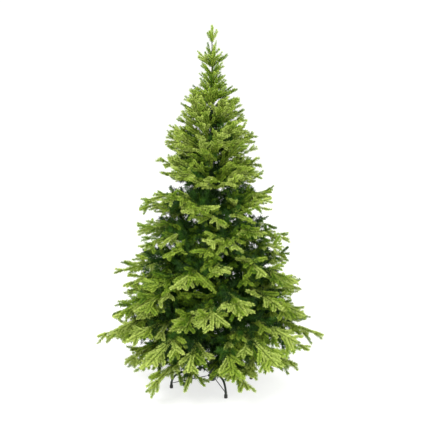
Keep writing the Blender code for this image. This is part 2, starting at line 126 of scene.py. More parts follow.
def buildWornGroup():
    # A painted or moulded skin: clouded tone, fine grain, rubbed streaks and dust near the floor
    inputs = {"Main": (0.01, 0.02, 0.01, 1.0), "Faded": (0.03, 0.05, 0.03, 1.0),
              "Rubbed": (0.2, 0.2, 0.2, 1.0), "Grain Scale": 700.0, "Wear": 0.4}
    tree, into, out = newGroup("worn skin", inputs, ("Color", "Roughness", "Height"))
    where = newNode(tree, "TexCoord", output="Object")
    drawn = newNode(tree, "Mapping", {"Vector": where, "Scale": (1.0, 1.0, 0.12)})
    clouds = newNode(tree, "TexNoise", {"Vector": where, "Scale": 22.0, "Detail": 4.0})
    grain = newNode(tree, "TexNoise", {"Vector": where, "Scale": into["Grain Scale"], "Detail": 2.0})
    streaks = newNode(tree, "TexNoise", {"Vector": drawn, "Scale": 90.0, "Detail": 3.0})
    rubbed = newNode(tree, "MapRange", {"Value": streaks, "From Min": 0.60, "From Max": 0.72})
    worn = newNode(tree, "Math", {0: rubbed, 1: into["Wear"]}, operation="MULTIPLY")
    height = newNode(tree, "SeparateXYZ", {"Vector": where}, output="Z")
    dust = newNode(tree, "MapRange", {"Value": height, "From Min": 0.05, "From Max": 0.0, "To Max": 0.35})
    tone = newNode(tree, "Math", {0: clouds, 1: dust}, operation="ADD", use_clamp=True)
    aged = newNode(tree, "Mix", {"Factor": tone, "A": into["Main"], "B": into["Faded"]}, data_type="RGBA")
    colour = newNode(tree, "Mix", {"Factor": worn, "A": aged, "B": into["Rubbed"]}, data_type="RGBA")
    dull = newNode(tree, "MapRange", {"Value": tone, "To Min": 0.30, "To Max": 0.68})
    relief = newNode(tree, "Math", {0: grain, 1: worn}, operation="SUBTRACT")
    for end, source in (("Color", colour), ("Roughness", dull), ("Height", relief)):
        tree.links.new(source, out[end])
    return tree


def linear(red, green, blue):
    # A colour given as 0 to 255 on screen, as the shader's own numbers
    def one(value):
        value = value / 255.0
        return value / 12.92 if value <= 0.04045 else ((value + 0.055) / 1.055) ** 2.4
    return one(red), one(green), one(blue), 1.0


def newMaterial(name, roughness):
    material = bpy.data.materials.new(name)
    material.use_nodes = True
    shader = material.node_tree.nodes["Principled BSDF"]
    shader.inputs["Roughness"].default_value = roughness
    return material, shader, material.node_tree


def dressShader(tree, shader, colour, roughness, height, strength, distance):
    bump = newNode(tree, "Bump", {"Height": height, "Strength": strength, "Distance": distance})
    for end, source in (("Base Color", colour), ("Roughness", roughness), ("Normal", bump)):
        tree.links.new(source, shader.inputs[end])


def foliageMaterial(name, deep, bright, roughness=0.5, patchScale=9.0, grainScale=140.0):
    material, shader, tree = newMaterial(name, roughness)
    shader.inputs["Specular IOR Level"].default_value = 0.25
    inputs = {"Deep": linear(*deep), "Bright": linear(*bright), "Patch Scale": patchScale,
              "Grain Scale": grainScale}
    mottle = newNode(tree, "Group", inputs, node_tree=mottleGroup).node.outputs
    shine = {"Value": mottle["Mask"], "To Min": roughness + 0.12, "To Max": roughness - 0.08}
    dressShader(tree, shader, mottle["Color"], newNode(tree, "MapRange", shine), mottle["Mask"], 0.25, 0.0004)
    return material


def wornMaterial(name, main, faded, rubbed, grainScale, wear, bumpStrength):
    material, shader, tree = newMaterial(name, 0.5)
    inputs = {"Main": linear(*main), "Faded": linear(*faded), "Rubbed": linear(*rubbed),
              "Grain Scale": grainScale, "Wear": wear}
    skin = newNode(tree, "Group", inputs, node_tree=wornGroup).node.outputs
    dressShader(tree, shader, skin["Color"], skin["Roughness"], skin["Height"], bumpStrength, 0.0005)
    return material


print("materials")
wornGroup = buildWornGroup()
mottleGroup = buildMottleGroup()
# Lit and shaded copies of one moulded green, dealt out by spray as painted light and shade. Each goes from
# its colour at a needle's root (darker there as painted shade) and in dark patches to its colour at the tip
mouldedTints = [
    ("paleTips", (118, 144, 44), (194, 210, 108)),
    ("brightTips", (98, 130, 32), (172, 194, 76)),
    ("freshGreen", (78, 114, 22), (146, 172, 54)),
    ("middleGreen", (60, 96, 16), (114, 146, 36)),
    ("shadedGreen", (40, 70, 12), (82, 114, 26)),
]
# The brush's own dark greens, made darker still as painted shade for the inside of the crown
brushTints = [
    ("deepBrush", (26, 54, 12), (42, 78, 18)),
    ("mossBrush", (44, 82, 18), (66, 106, 26)),
]
mouldedMaterials = [foliageMaterial(*tint) for tint in mouldedTints]
brushMaterials = [foliageMaterial(*tint) for tint in brushTints]
twigMaterial = foliageMaterial("oliveTwig", (66, 78, 34), (96, 104, 50), 0.5, 20.0, 220.0)
wireMaterial = foliageMaterial("wrappedWire", (22, 40, 20), (40, 60, 30), 0.45, 20.0, 260.0)
paintMaterial = wornMaterial("standPaint", (12, 20, 16), (34, 42, 36), (92, 96, 92), 900.0, 0.35, 0.25)
poleMaterial = wornMaterial("polePaint", (16, 38, 20), (34, 60, 36), (96, 104, 92), 900.0, 0.25, 0.20)
rubberMaterial = wornMaterial("rubber", (14, 14, 14), (46, 45, 43), (60, 58, 55), 500.0, 0.50, 0.50)

goldenTurn = 2.39996  # from one shoot to the next round a stem, in radians
# Where each row of random numbers starts
seeds = {"wires": 1000, "sprays": 5000, "fans": 9000, "atPole": 7000, "perTier": 50, "needles": 100,
         "brush": 200, "leader": 77, "leaderFans": 78, "leaderNeedles": 300}


# The wires, by the rule of the solids

def poleRadius(height):
    for radius, top in poleSections:
        if height < top:
            return radius
    return poleSections[-1][0]


def hingeHeight(index):
    return crown["firstTier"] + crown["tierStep"] * index


def surfaceHeight(index, radius):
    # Height of the tier's own surface at this distance from the pole
    tier = tiers[index]
    start = poleRadius(hingeHeight(index)) + crown["bracketLength"]
    share = max(0.0, (radius - start) / (tier["reach"] - start))
    arch = 4.0 * crown["archShare"] * tier["reach"] * share * (1.0 - share)
    return hingeHeight(index) + tier["lift"] * share + arch


def slab(index, radius):
    # The lowest and highest places a branch may reach at this distance from the pole
    own = surfaceHeight(index, radius)
    outer = 2 * crown["outerSlab"]
    below = surfaceHeight(index - 1, radius) if index else own - outer
    above = surfaceHeight(index + 1, radius) if index + 1 < len(tiers) else own + outer
    return (own + below) / 2 + crown["slabMargin"], (own + above) / 2 - crown["slabMargin"]


def polar(radius, turn, height):
    return Vector((radius * math.cos(turn), radius * math.sin(turn), height))


def branchWires(index, place):
    draw = random.Random(seeds["wires"] + seeds["perTier"] * index + place)
    hinge = hingeHeight(index)
    count = tiers[index]["count"]
    turn = math.radians(tiers[index]["turn"]) + 2 * math.pi * place / count
    halfSector = math.pi / count
    lean = crown["widestLean"] if index == crown["widestTier"] else crown["leanToLeft"]
    reach = tiers[index]["reach"] * (1.0 - lean * math.cos(turn)) * draw.uniform(0.95, 1.0)
    root = poleRadius(hinge) + crown["gap"]
    bracketEnd = root + crown["bracketLength"]
    main = [polar(root, turn, hinge), polar(bracketEnd, turn, hinge)]
    for step in (crown["forkAt"], 0.55, 1.0):
        radius = bracketEnd + (reach - bracketEnd) * step
        main.append(polar(radius, turn, surfaceHeight(index, radius)))
    wires = [main]
    if index >= crown["forkingTiers"]:
        return wires, turn, reach, (0,)
    upper = draw.choice((-1, 1))
    fork = main[2]
    for side in (-1, 1):
        tipTurn = turn + side * halfSector * crown["sideWireShare"] * draw.uniform(0.92, 1.06)
        tipRadius = reach * draw.uniform(0.84, 0.95)
        tip = polar(tipRadius, tipTurn, 0.0)
        wire = [main[2].lerp(main[1], 0.15)]
        for step in (0.5, 1.0):
            flat = fork.lerp(tip, step)
            radius = math.hypot(flat.x, flat.y)
            own = surfaceHeight(index, radius)
            limit = slab(index, radius)[side * upper > 0]
            wire.append(Vector((flat.x, flat.y, own + (limit - own) * crown["sideWireRise"])))
        wires.append(wire)
    return wires, turn, reach, (0, -upper, upper)


def lengthOf(points):
    return sum((b - a).length for a, b in zip(points, points[1:]))


def along(points, share):
    # The place and direction at this share of a wire's length
    left = share * lengthOf(points)
    for i, (a, b) in enumerate(zip(points, points[1:])):
        length = (b - a).length
        if left <= length or i == len(points) - 2:
            return a + (b - a) * (left / length), (b - a).normalized()
        left -= length


def rounded(points, step):
    # A smooth wire through the same knots, with a point every step
    ends = [points[0] * 2 - points[1], *points, points[-1] * 2 - points[-2]]
    smooth = []
    for a, b, c, d in zip(ends, ends[1:], ends[2:], ends[3:]):
        count = max(1, round((c - b).length / step))
        for i in range(count):
            t = i / count
            smooth.append(0.5 * ((2 * b) + (c - a) * t + (2 * a - 5 * b + 4 * c - d) * t * t
                                 + (3 * b - a - 3 * c + d) * t * t * t))
    return [*smooth, points[-1].copy()]


# The fans of fingers, grown on from the wires

# The sprays that the solids carry: where they leave the wire, and how
sprays = {
    "lengths": (0.125, 0.27),
    "tipShare": 0.34,
    "sideShare": 0.41,
    "onMain": (0.27, 0.54, 0.84),
    "onSideLow": (0.66,),
    "onSideHigh": (0.42, 0.80),
    "highTiers": 4,
    "halfWidth": 0.34,
    "toothSweep": 0.17,
    "tipFinger": 0.42,
    "angle": 46.0,
    "rise": (0.10, 0.50),
    "roll": (25.0, 85.0),
    "closestKnot": 0.02,
    "knotStep": 0.05,
    "drawnStep": 0.013,  # between the points of the wire as it is drawn
    "bareFoot": 0.12,
    "longestTwig": 0.11,
}
# What grows on them here: flat fans of fingers, and short tufts above and below the wires
fans = {
    "rollShare": 0.45,
    "tuftRoll": 0.9,
    "pairStep": 0.080,
    "skipped": 0.14,  # of the side twigs
    "angle": 40.0,
    "upperAngle": 29.0,  # the narrow upper crown's fingers lie closer to their stems
    "upperFrom": 6,
    "angleSpread": 7.0,
    "lengthShare": 0.42,  # of a side twig over its distance to the fan's tip
    "shortest": 0.054,
    "longest": 0.135,
    "forkingLength": 0.086,
    "forkStep": 0.085,
    "fingerLength": (0.040, 0.054),
    "pitch": (-0.60, 0.24),
    "pitchShare": 0.7,  # of that, for the side twigs
    "curl": (-0.06, 0.10),
    "lowestPair": 0.026,
    "overFoot": 0.008,  # of a fan's bare part, to its first pair
    "firstSpread": (0.9, 1.1),
    "stemStep": 0.05,
    "lengthSpread": (0.86, 1.08),
    "pairSpread": (0.85, 1.15),
    "forkSpread": (0.9, 1.15),
    "shadeNoise": (-0.3, 0.5),
    "inwardPaintedShade": 1.7,  # painted shade: steps darker at a fan's foot than at its tip
    "barePart": 0.40,  # of a wire, before its fan begins
    "lastPair": 0.044,  # distance from the fan's tip to its last pair
    "past": 0.012,  # how far a finger may reach past its branch
    "cutBack": 0.62,  # a side twig that reaches too far gets this share of its length
    "coarser": (1.36, 1.34, 1.26, 1.18, 1.10, 1.06),  # fingers of the lower tiers, over the others'
}
tufts = {
    "step": 0.060,
    "closer": 0.05,  # the step shrinks by this share for each tier above the lowest
    "from": 0.10,
    "to": 0.82,
    "length": (0.085, 0.130),
    "swing": (5.0, 55.0),
    "rise": (0.20, 0.95),
    "flatter": 0.88,  # how much of the rise is lost by the wire's end
    "risingTiers": 0.03,  # added to the rise for each tier above the lowest
    "allRising": 6,  # from this tier on no tuft hangs
    "topRise": (0.30, 0.80),
    "allHanging": 1,  # up to this tier the outer tufts all hang, and are longer
    "lowRise": (-1.1, -0.35),
    "lowFrom": 0.40,
    "lowLength": (0.100, 0.150),
    "lowStep": (0.090, 0.075),  # for the lowest tiers
    "bareFoot": 0.10,
    "longest": 0.06,
    "trims": (1.0, 0.8, 0.62),  # tried in turn until a tuft fits
    "overSlab": 0.012,
    "inReach": 0.985,
    "spacing": (0.8, 1.2),
}


# Low in front the crown is open, and the legs show
openings = [
    {"below": 0.170, "behind": -0.12, "left": -0.270, "right": -0.165},
    {"below": 0.155, "behind": -0.12, "left": -0.100, "right": -0.045},
    {"below": 0.115, "behind": -0.12, "left": -0.045, "right": 0.025},
    {"below": 0.155, "behind": -0.12, "left": 0.025, "right": 0.095},
]


def shortened(points, share):
    end, _ = along(points, share)
    left = share * lengthOf(points) - sprays["closestKnot"]
    kept = [points[0]]
    for a, b in zip(points, points[1:]):
        left -= (b - a).length
        if left < 0:
            break
        kept.append(b)
    return [*kept, end]


def facing(direction, roll):
    # The fan's normal: upright when roll is 0
    ahead = direction.normalized()
    across = Vector((0.0, 0.0, 1.0)).cross(ahead)
    if across.length < 1e-4:
        across = Vector((0.0, 1.0, 0.0))
    across.normalize()
    return Matrix.Rotation(roll, 3, ahead) @ ahead.cross(across)


def inSpace(points, index, turn, halfSector, reach):
    for point in points:
        radius = math.hypot(point.x, point.y)
        off = math.remainder(math.atan2(point.y, point.x) - turn, 2 * math.pi)
        if abs(off) > halfSector - crown["sideMargin"] / max(radius, 0.01):
            return False
        low, high = slab(index, radius)
        if not low < point.z < high:
            return False
        if point.z < crown["floorClearance"] or radius > reach + 0.002:
            return False
    return True


def fittedLength(spot, direction, length, pairs, roll, space):
    # The length at which the solid's spray fits its space, or 0 where it has none
    ahead = direction.normalized()
    across = facing(direction, roll).cross(ahead)
    for scale in (1.0, 0.88, 0.76, 0.64):
        size = length * scale
        points = [spot, spot + ahead * size]
        for i in range(pairs):
            share = 1.0 - 0.28 * i
            out = size * (1.0 - sprays["tipFinger"]) * (i + 1) / pairs + size * sprays["toothSweep"] * share
            half = across * size * sprays["halfWidth"] * share
            points += [spot + ahead * out + half * side for side in (-1, 1)]
        if inSpace(points, *space):
            return size
    return 0.0


class Shoots:
    # Every stem that bears needles, as rows of numbers
    def __init__(self):
        self.rows = []

    def add(self, root, direction, up, length, curl, isTip, tint, girth=1.0):
        ahead = direction.normalized()
        up = (up - ahead * up.dot(ahead)).normalized()
        self.rows.append((*root, *ahead, *up, length, curl, float(isTip), float(tint), girth))


# Which of the five tints a fan takes, by spray: painted light and shade, lighter towards the outside of the
# crown and darker towards the pole
paintedShading = {
    "atPole": 3.9,
    "overReach": 4.0,
    "noise": 0.45,
    "narrowReach": 0.45,  # tiers that reach less take painted light nearly to the pole
    "narrowLift": 0.5,
}


def asTint(value):
    return min(len(mouldedTints) - 1, max(0, round(value)))


def pickTint(point, reach, draw):
    out = math.hypot(point.x, point.y) / reach
    lift = paintedShading["narrowLift"] * (reach < paintedShading["narrowReach"])
    return asTint(paintedShading["atPole"] - lift - paintedShading["overReach"] * out + draw.gauss(0.0, paintedShading["noise"]))


def inOpening(point):
    for opening in openings:
        inside = opening["left"] < point.x < opening["right"]
        if inside and point.z < opening["below"] and point.y < opening["behind"]:
            return True
    return False


def cutAtOpening(path):
    for i, point in enumerate(path):
        if inOpening(point):
            return path[:max(i, 2)]
    return path


def inReach(point, reach):
    if inOpening(point):
        return False
    return math.hypot(point.x, point.y) < reach + fans["past"] and point.z > crown["floorClearance"]


def turned(direction, normal, degrees, pitch):
    out = Matrix.Rotation(math.radians(degrees), 3, normal) @ direction
    out.z += pitch
    return out.normalized()


def addFingers(spot, out, length, normal, reach, draw, shoots, tint, coarse, spread):
    # Pairs of short fingers near the end of a long side twig
    at = length - fans["lastPair"] * coarse
    while at > fans["lowestPair"]:
        for hand in (-1, 1):
            size = draw.uniform(*fans["fingerLength"]) * coarse
            angle = (spread + draw.uniform(-1, 1) * fans["angleSpread"]) * hand
            finger = turned(out, normal, angle, draw.uniform(*fans["pitch"]))
            root = spot + out * at
            if inReach(root + finger * size, reach):
                shoots.add(root, finger, normal, size, draw.uniform(*fans["curl"]), True, tint, coarse)
        at -= fans["forkStep"] * coarse * draw.uniform(*fans["forkSpread"])


def growFan(path, up, reach, draw, shoots, start=0.0, longest=None, tint=None, coarse=1.0, spread=None):
    # A flat fan: side twigs in pairs along the path, the long ones forked again
    total = lengthOf(path)
    if tint is None:
        tint = pickTint(path[-1], reach, draw)
    longest = (longest or fans["longest"]) * coarse
    spread = spread or fans["angle"]
    at = total - fans["lastPair"] * coarse * draw.uniform(*fans["firstSpread"])
    while at > start * total + fans["overFoot"]:
        spot, ahead = along(path, at / total)
        normal = (up - ahead * up.dot(ahead)).normalized()
        for side in (-1, 1):
            if draw.random() < fans["skipped"]:
                continue
            length = fans["shortest"] * coarse + fans["lengthShare"] * max(0.0, total - at - fans["lastPair"])
            length = min(longest, length) * draw.uniform(*fans["lengthSpread"])
            angle = (spread + draw.uniform(-1, 1) * fans["angleSpread"]) * side
            out = turned(ahead, normal, angle, draw.uniform(*fans["pitch"]) * fans["pitchShare"])
            if not inReach(spot + out * length, reach):
                length *= fans["cutBack"]
                if not inReach(spot + out * length, reach):
                    continue
            # Painted shade: side twigs take darker tints the nearer they stand to the fan's foot
            shade = asTint(tint + fans["inwardPaintedShade"] * (1.0 - at / total) + draw.gauss(*fans["shadeNoise"]))
            shoots.add(spot, out, normal, length, draw.uniform(*fans["curl"]), True, shade, coarse)
            if length > fans["forkingLength"] * coarse:
                addFingers(spot, out, length, normal, reach, draw, shoots, shade, coarse, spread)
        at -= fans["pairStep"] * coarse * draw.uniform(*fans["pairSpread"])
    # The fan's own stem bears needles too, and ends in a finger
    steps = max(2, round(total * (1.0 - start) / fans["stemStep"]))
    for i in range(steps):
        a, _ = along(path, start + (1.0 - start) * i / steps)
        b, _ = along(path, start + (1.0 - start) * (i + 1) / steps)
        shoots.add(a, b - a, up, (b - a).length, 0.0, i == steps - 1, tint, coarse)


def habit(index):
    # How coarse a tier's fingers are, and how far they spread from their stems
    coarser = fans["coarser"]
    return {"coarse": coarser[index] if index < len(coarser) else 1.0,
            "spread": fans["upperAngle"] if index >= fans["upperFrom"] else fans["angle"]}


def growTufts(wire, index, reach, draw, shoots):
    # Short sprays that stand up and hang down from a wire, within the tier's own slab
    total = lengthOf(wire)
    gap = tufts["step"] * (1.0 - tufts["closer"] * index)
    if index <= tufts["allHanging"]:
        gap = tufts["lowStep"][index]
    at = total * tufts["from"] + gap * draw.uniform(0.0, 1.0)
    way = draw.choice((-1, 1))
    while at < total * tufts["to"]:
        spot, ahead = along(wire, at / total)
        hand = draw.choice((-1, 1))
        isHanging = index <= tufts["allHanging"] and at > total * tufts["lowFrom"]
        if index >= tufts["allRising"]:
            rise = draw.uniform(*tufts["topRise"])
        elif isHanging:
            rise = draw.uniform(*tufts["lowRise"])
        else:
            rise = way * draw.uniform(*tufts["rise"]) * (1.0 - tufts["flatter"] * at / total)
            rise += tufts["risingTiers"] * index
        out = turned(ahead, Vector((0, 0, 1)), draw.uniform(*tufts["swing"]) * hand, rise)
        length = draw.uniform(*tufts["lowLength" if isHanging else "length"])
        for scale in tufts["trims"]:
            tip = spot + out * length * scale
            low, high = slab(index, math.hypot(tip.x, tip.y))
            fits = low - tufts["overSlab"] < tip.z < high + tufts["overSlab"]
            if fits and inReach(tip, reach * tufts["inReach"]):
                path = [spot, tip]
                # Tufts between the tiers take one tint darker, as painted shade
                isInner = index < tufts["allRising"] and not isHanging
                tint = asTint(pickTint(tip, reach, draw) + isInner)
                roll = draw.uniform(-1, 1) * fans["tuftRoll"]
                growFan(path, facing(out, roll), reach, draw, shoots, start=tufts["bareFoot"],
                        longest=tufts["longest"], tint=tint, **habit(index))
                break
        way = -way
        at += gap * draw.uniform(*tufts["spacing"])


def growBranch(index, place, shoots, brushes, wires):
    points, turn, reach, trends = branchWires(index, place)
    draw = random.Random(seeds["sprays"] + seeds["perTier"] * index + place)
    fine = random.Random(seeds["fans"] + seeds["perTier"] * index + place)
    space = (index, turn, math.pi / tiers[index]["count"], reach)
    shortest, longest = sprays["lengths"]
    tipLength = min(longest, max(shortest, sprays["tipShare"] * reach))
    sideLength = min(longest, max(shortest, sprays["sideShare"] * reach))
    isLow = index < sprays["highTiers"]
    for knots, trend in zip(points, trends):
        isMain = trend == 0
        stem = shortened(knots, 1.0 - 0.9 * tipLength / lengthOf(knots))
        draw.uniform(*sprays["roll"])  # the draws of the solid's tip spray
        draw.choice((-1, 1))
        wire = cutAtOpening(rounded(knots, sprays["knotStep"]))
        drawn = cutAtOpening(rounded(knots, sprays["drawnStep"]))
        wires.append((drawn, stems["mainRadius" if isMain else "sideRadius"]))
        up = facing(knots[-1] - knots[1], math.radians(fine.uniform(-8, 8)))
        growFan(wire, up, reach, fine, shoots, start=fans["barePart"], **habit(index))
        growTufts(wire, index, reach, fine, shoots)
        growBrush(wire, up, index, fine, brushes, reach)
        hand = draw.choice((-1, 1))
        shares = sprays["onMain"] if isMain else sprays["onSideLow"] if isLow else sprays["onSideHigh"]
        for share in shares:
            spot, direction = along(stem, share)
            swing = math.radians(sprays["angle"] + draw.uniform(-8, 8)) * hand
            out = Matrix.Rotation(swing, 3, "Z") @ direction
            out.z += draw.uniform(*sprays["rise"]) * (trend or draw.choice((-1, 1)))
            roll = math.radians(draw.uniform(*sprays["roll"])) * draw.choice((-1, 1))
            size = sideLength * draw.uniform(0.85, 1.0)
            fit = fittedLength(spot, out, size, 1 + isLow, roll, space)
            hand = -hand
            if fit:
                ahead = out.normalized()
                path = [spot, spot + ahead * fit * 0.5, spot + ahead * fit]
                twig = min(sprays["longestTwig"], fit * 0.5)
                growFan(path, facing(out, roll * fans["rollShare"]), reach, fine, shoots,
                        start=sprays["bareFoot"], longest=twig, **habit(index))


# The soft dark brush round the inner part of every wire, whose dark tints are partly painted shade for the
# inside of the crown
inner = {
    "from": 0.02,
    "to": 0.72,
    "twigStep": 0.016,
    "above": (0.10, 0.03),  # how far a twig may rise over the wire, at the pole and at the end
    "outTo": 0.72,  # of the branch's reach, for the tips of its twigs
    "shrinking": 0.035,  # the brush takes this share less of the wire for each tier above the fourth
    "poleStep": 0.007,  # between the twigs right at the pole, on the inmost tips
    "poleTwig": (0.090, 0.150),
    "poleRise": (-0.35, 0.80),
    "twigLength": (0.080, 0.150),
    "twigAngle": (15.0, 80.0),
    "rise": (0.10, 1.5),
    "trims": (1.0, 0.75, 0.55),
    "overSlab": 0.02,
    "mossy": (0.35, 0.4, 0.25),  # share in the lighter tint: along the wire, on its twigs, at the pole
    "curl": (-0.1, 0.1),
    "firstTwig": 0.03,
    "spacing": (0.8, 1.2),
    "poleSpan": (0.45, 0.55),  # of the step between tiers, below and above the hinges
    "poleReach": 0.45,  # of the tier's reach
    "poleShortest": 0.7,  # of the shortest pole twig
    "offPole": 0.001,
}


def growBrush(wire, up, index, draw, brushes, reach):
    total = lengthOf(wire)
    onWire, onTwigs, _ = inner["mossy"]
    shrunk = inner["shrinking"] * max(0, index - 3)
    reachOut = inner["to"] - shrunk
    outmost = reach * (inner["outTo"] - shrunk)
    span = reachOut - inner["from"]
    steps = max(2, round(total * span / fans["stemStep"]))
    for i in range(steps):
        a, _ = along(wire, inner["from"] + span * i / steps)
        b, _ = along(wire, inner["from"] + span * (i + 1) / steps)
        brushes.add(a, b - a, up, (b - a).length, 0.0, False, draw.random() < onWire)
    at = inner["firstTwig"]
    way = draw.choice((-1, 1))
    while at < total * reachOut:
        spot, ahead = along(wire, at / total)
        hand = draw.choice((-1, 1))
        rise = way * draw.uniform(*inner["rise"]) + tufts["risingTiers"] * index
        out = turned(ahead, Vector((0, 0, 1)), draw.uniform(*inner["twigAngle"]) * hand, rise)
        length = draw.uniform(*inner["twigLength"])
        for scale in inner["trims"]:
            tip = spot + out * length * scale
            low, high = slab(index, math.hypot(tip.x, tip.y))
            first, last = inner["above"]
            top = min(high + inner["overSlab"], spot.z + first + (last - first) * at / total)
            if low - inner["overSlab"] < tip.z < top and inReach(tip, outmost):
                curl = draw.uniform(*inner["curl"])
                brushes.add(spot, out, up, length * scale, curl, True, draw.random() < onTwigs)
                break
        way = -way
        at += inner["twigStep"] * draw.uniform(*inner["spacing"])


def growAtPole(index, draw, brushes):
    # The inmost tips of a tier's branches stand close round the pole
    hinge = hingeHeight(index)
    shortest, longest = inner["poleTwig"]
    reach = min(longest, inner["poleReach"] * tiers[index]["reach"])
    below, above = inner["poleSpan"]
    height = hinge - crown["tierStep"] * below
    turn = draw.uniform(0, 2 * math.pi)
    while height < hinge + crown["tierStep"] * above:
        turn += goldenTurn
        out = polar(1.0, turn, draw.uniform(*inner["poleRise"])).normalized()
        length = draw.uniform(shortest * inner["poleShortest"], reach)
        root = polar(poleRadius(height) + inner["offPole"], turn, height)
        brushes.add(root, out, facing(out, 0.0), length, 0.0, True, draw.random() < inner["mossy"][2])
        height += inner["poleStep"]


# Needles and twigs as joined meshes

mouldedNeedle = {
    "perMetre": 900,
    "length": 0.0120,
    "rootWidth": 0.0038,
    "tipWidth": 0.0026,
    "rootAngle": 52.0,
    "tipAngle": 30.0,
    "closing": 6.0,  # how late the needles close in towards a finger's end
    "flatness": 0.85,
    "twist": 0.7,
    "stemRadius": 0.0010,
}
leaderNeedle = {**mouldedNeedle, "perMetre": 1150, "rootWidth": 0.0030, "tipWidth": 0.0022, "flatness": 0.9}
brushNeedle = {
    "perMetre": 720,
    "length": 0.031,
    "rootWidth": 0.0046,
    "tipWidth": 0.0,  # these end in a point
    "rootAngle": 64.0,
    "tipAngle": 34.0,
    "closing": 3.0,
    "flatness": 1.0,
    "twist": 2.0,
    "stemRadius": 0.0012,
}


# How the needles on one stem differ from each other, of either kind
unevenness = {
    "turn": 0.25,
    "angle": 6,
    "upward": 0.06,
    "length": (0.88, 1.10),
    "shorterAtTip": 0.22,
}


def unit(vectors):
    return vectors / np.maximum(np.linalg.norm(vectors, axis=1, keepdims=True), 1e-9)


def meshObject(name, points, corners, sides, materials, slots=None):
    # One object from arrays: corners holds every face's points, sides how many each face has
    mesh = bpy.data.meshes.new(name)
    mesh.vertices.add(len(points))
    mesh.vertices.foreach_set("co", np.asarray(points, np.float32).ravel())
    mesh.loops.add(len(corners))
    mesh.loops.foreach_set("vertex_index", np.asarray(corners, np.int32))
    mesh.polygons.add(len(sides))
    starts = np.cumsum(sides) - sides
    mesh.polygons.foreach_set("loop_start", np.asarray(starts, np.int32))
    mesh.polygons.foreach_set("loop_total", np.asarray(sides, np.int32))
    for material in materials:
        mesh.materials.append(material)
    if slots is not None:
        mesh.polygons.foreach_set("material_index", np.asarray(slots, np.int32))
    mesh.update(calc_edges=True)
    mesh.validate()
    obj = bpy.data.objects.new(name, mesh)
    bpy.context.scene.collection.objects.link(obj)
    return obj


def needlesOn(name, shoots, look, materials, seed):
    rng = np.random.default_rng(seed)
    rows = np.array(shoots.rows)
    length = rows[:, 9]
    counts = np.maximum(4, np.round(length * look["perMetre"] * rows[:, 13])).astype(int)
    owner = np.repeat(np.arange(len(rows)), counts)
    order = np.arange(len(owner)) - np.repeat(np.cumsum(counts) - counts, counts)
    share = (order + rng.uniform(0.0, 1.0, len(owner))) / counts[owner]
    root, ahead, up = rows[owner, 0:3], rows[owner, 3:6], rows[owner, 6:9]
    reach = length[owner][:, None]
    curl = rows[owner, 10][:, None]
    isTip = rows[owner, 11]
    across = np.cross(up, ahead)
    t = share[:, None]
    spot = root + ahead * reach * t + up * curl * reach * t * t
    tangent = unit(ahead + up * 2 * curl * t)
    phase = rng.uniform(0, 2 * math.pi, len(rows))[owner]
    around = phase + order * goldenTurn + rng.normal(0, unevenness["turn"], len(owner))
    radial = unit(across * np.cos(around)[:, None] + up * (np.sin(around) * look["flatness"])[:, None])
    closing = np.where(isTip > 0, share ** look["closing"], 0.0)
    closed = (look["tipAngle"] - look["rootAngle"]) * closing
    angle = np.radians(look["rootAngle"] + closed + rng.normal(0, unevenness["angle"], len(owner)))[:, None]
    pointing = unit(tangent * np.cos(angle) + radial * np.sin(angle) + up * unevenness["upward"])
    size = look["length"] * rows[owner, 13] * rng.uniform(*unevenness["length"], len(owner))
    size *= 1.0 - unevenness["shorterAtTip"] * closing
    flat = unit(up + across * rng.normal(0, look["twist"], len(owner))[:, None]
                + ahead * rng.normal(0, look["twist"] * 0.5, len(owner))[:, None])
    wide = unit(np.cross(flat, pointing))
    foot = spot + radial * look["stemRadius"]
    end = foot + pointing * size[:, None]
    outline = [foot - wide * look["rootWidth"] / 2, foot + wide * look["rootWidth"] / 2]
    if look["tipWidth"]:
        outline += [end + wide * look["tipWidth"] / 2, end - wide * look["tipWidth"] / 2]
    else:
        outline.append(end)
    points = np.stack(outline, axis=1).reshape(-1, 3)
    corners = np.arange(len(points))
    sides = np.full(len(owner), len(outline))
    slots = rows[owner, 12].astype(int)
    obj = meshObject(name, points, corners, sides, materials, slots)
    rootToTip = np.tile([0.0, 0.0, 1.0, 1.0][:len(outline)], len(owner))
    obj.data.attributes.new("along", "FLOAT", "POINT").data.foreach_set("value", rootToTip.astype(np.float32))
    return obj


# Bare twigs under the needles, and wires wrapped in tape, which leaves a ridge that winds along them
stems = {
    "twigRadius": (0.0015, 0.0008),
    "twigShare": 0.96,  # of its shoot's length
    "mainRadius": 0.0034,
    "sideRadius": 0.0027,
    "leaderRadius": 0.0055,
    "thinning": 0.55,
    "ridge": 0.16,
    "sides": 6,
}


def twigsOf(name, shoots, material):
    # A three-sided closed twig for each shoot
    rows = np.array(shoots.rows)
    root, ahead, up = rows[:, 0:3], rows[:, 3:6], rows[:, 6:9]
    length, curl, isTip = rows[:, 9:10], rows[:, 10:11], rows[:, 11:12]
    across = np.cross(up, ahead)
    thick, thin = stems["twigRadius"]
    rings = []
    for share in (0.0, 1.0):
        centre = root + ahead * length * share * stems["twigShare"] + up * curl * length * share
        radius = thick + (thin - thick) * share * isTip
        for i in range(3):
            turn = 2 * math.pi * i / 3
            rings.append(centre + (across * math.cos(turn) + up * math.sin(turn)) * radius)
    points = np.stack(rings, axis=1).reshape(-1, 3)
    base = np.arange(len(rows))[:, None] * 6
    quads = np.array([(0, 1, 4, 3), (1, 2, 5, 4), (2, 0, 3, 5)])
    ends = np.array([(0, 2, 1), (3, 4, 5)])
    corners = np.concatenate([(base + quads.ravel()), (base + ends.ravel())], axis=1).ravel()
    sides = np.tile([4, 4, 4, 3, 3], len(rows))
    return meshObject(name, points, corners, sides, [material])


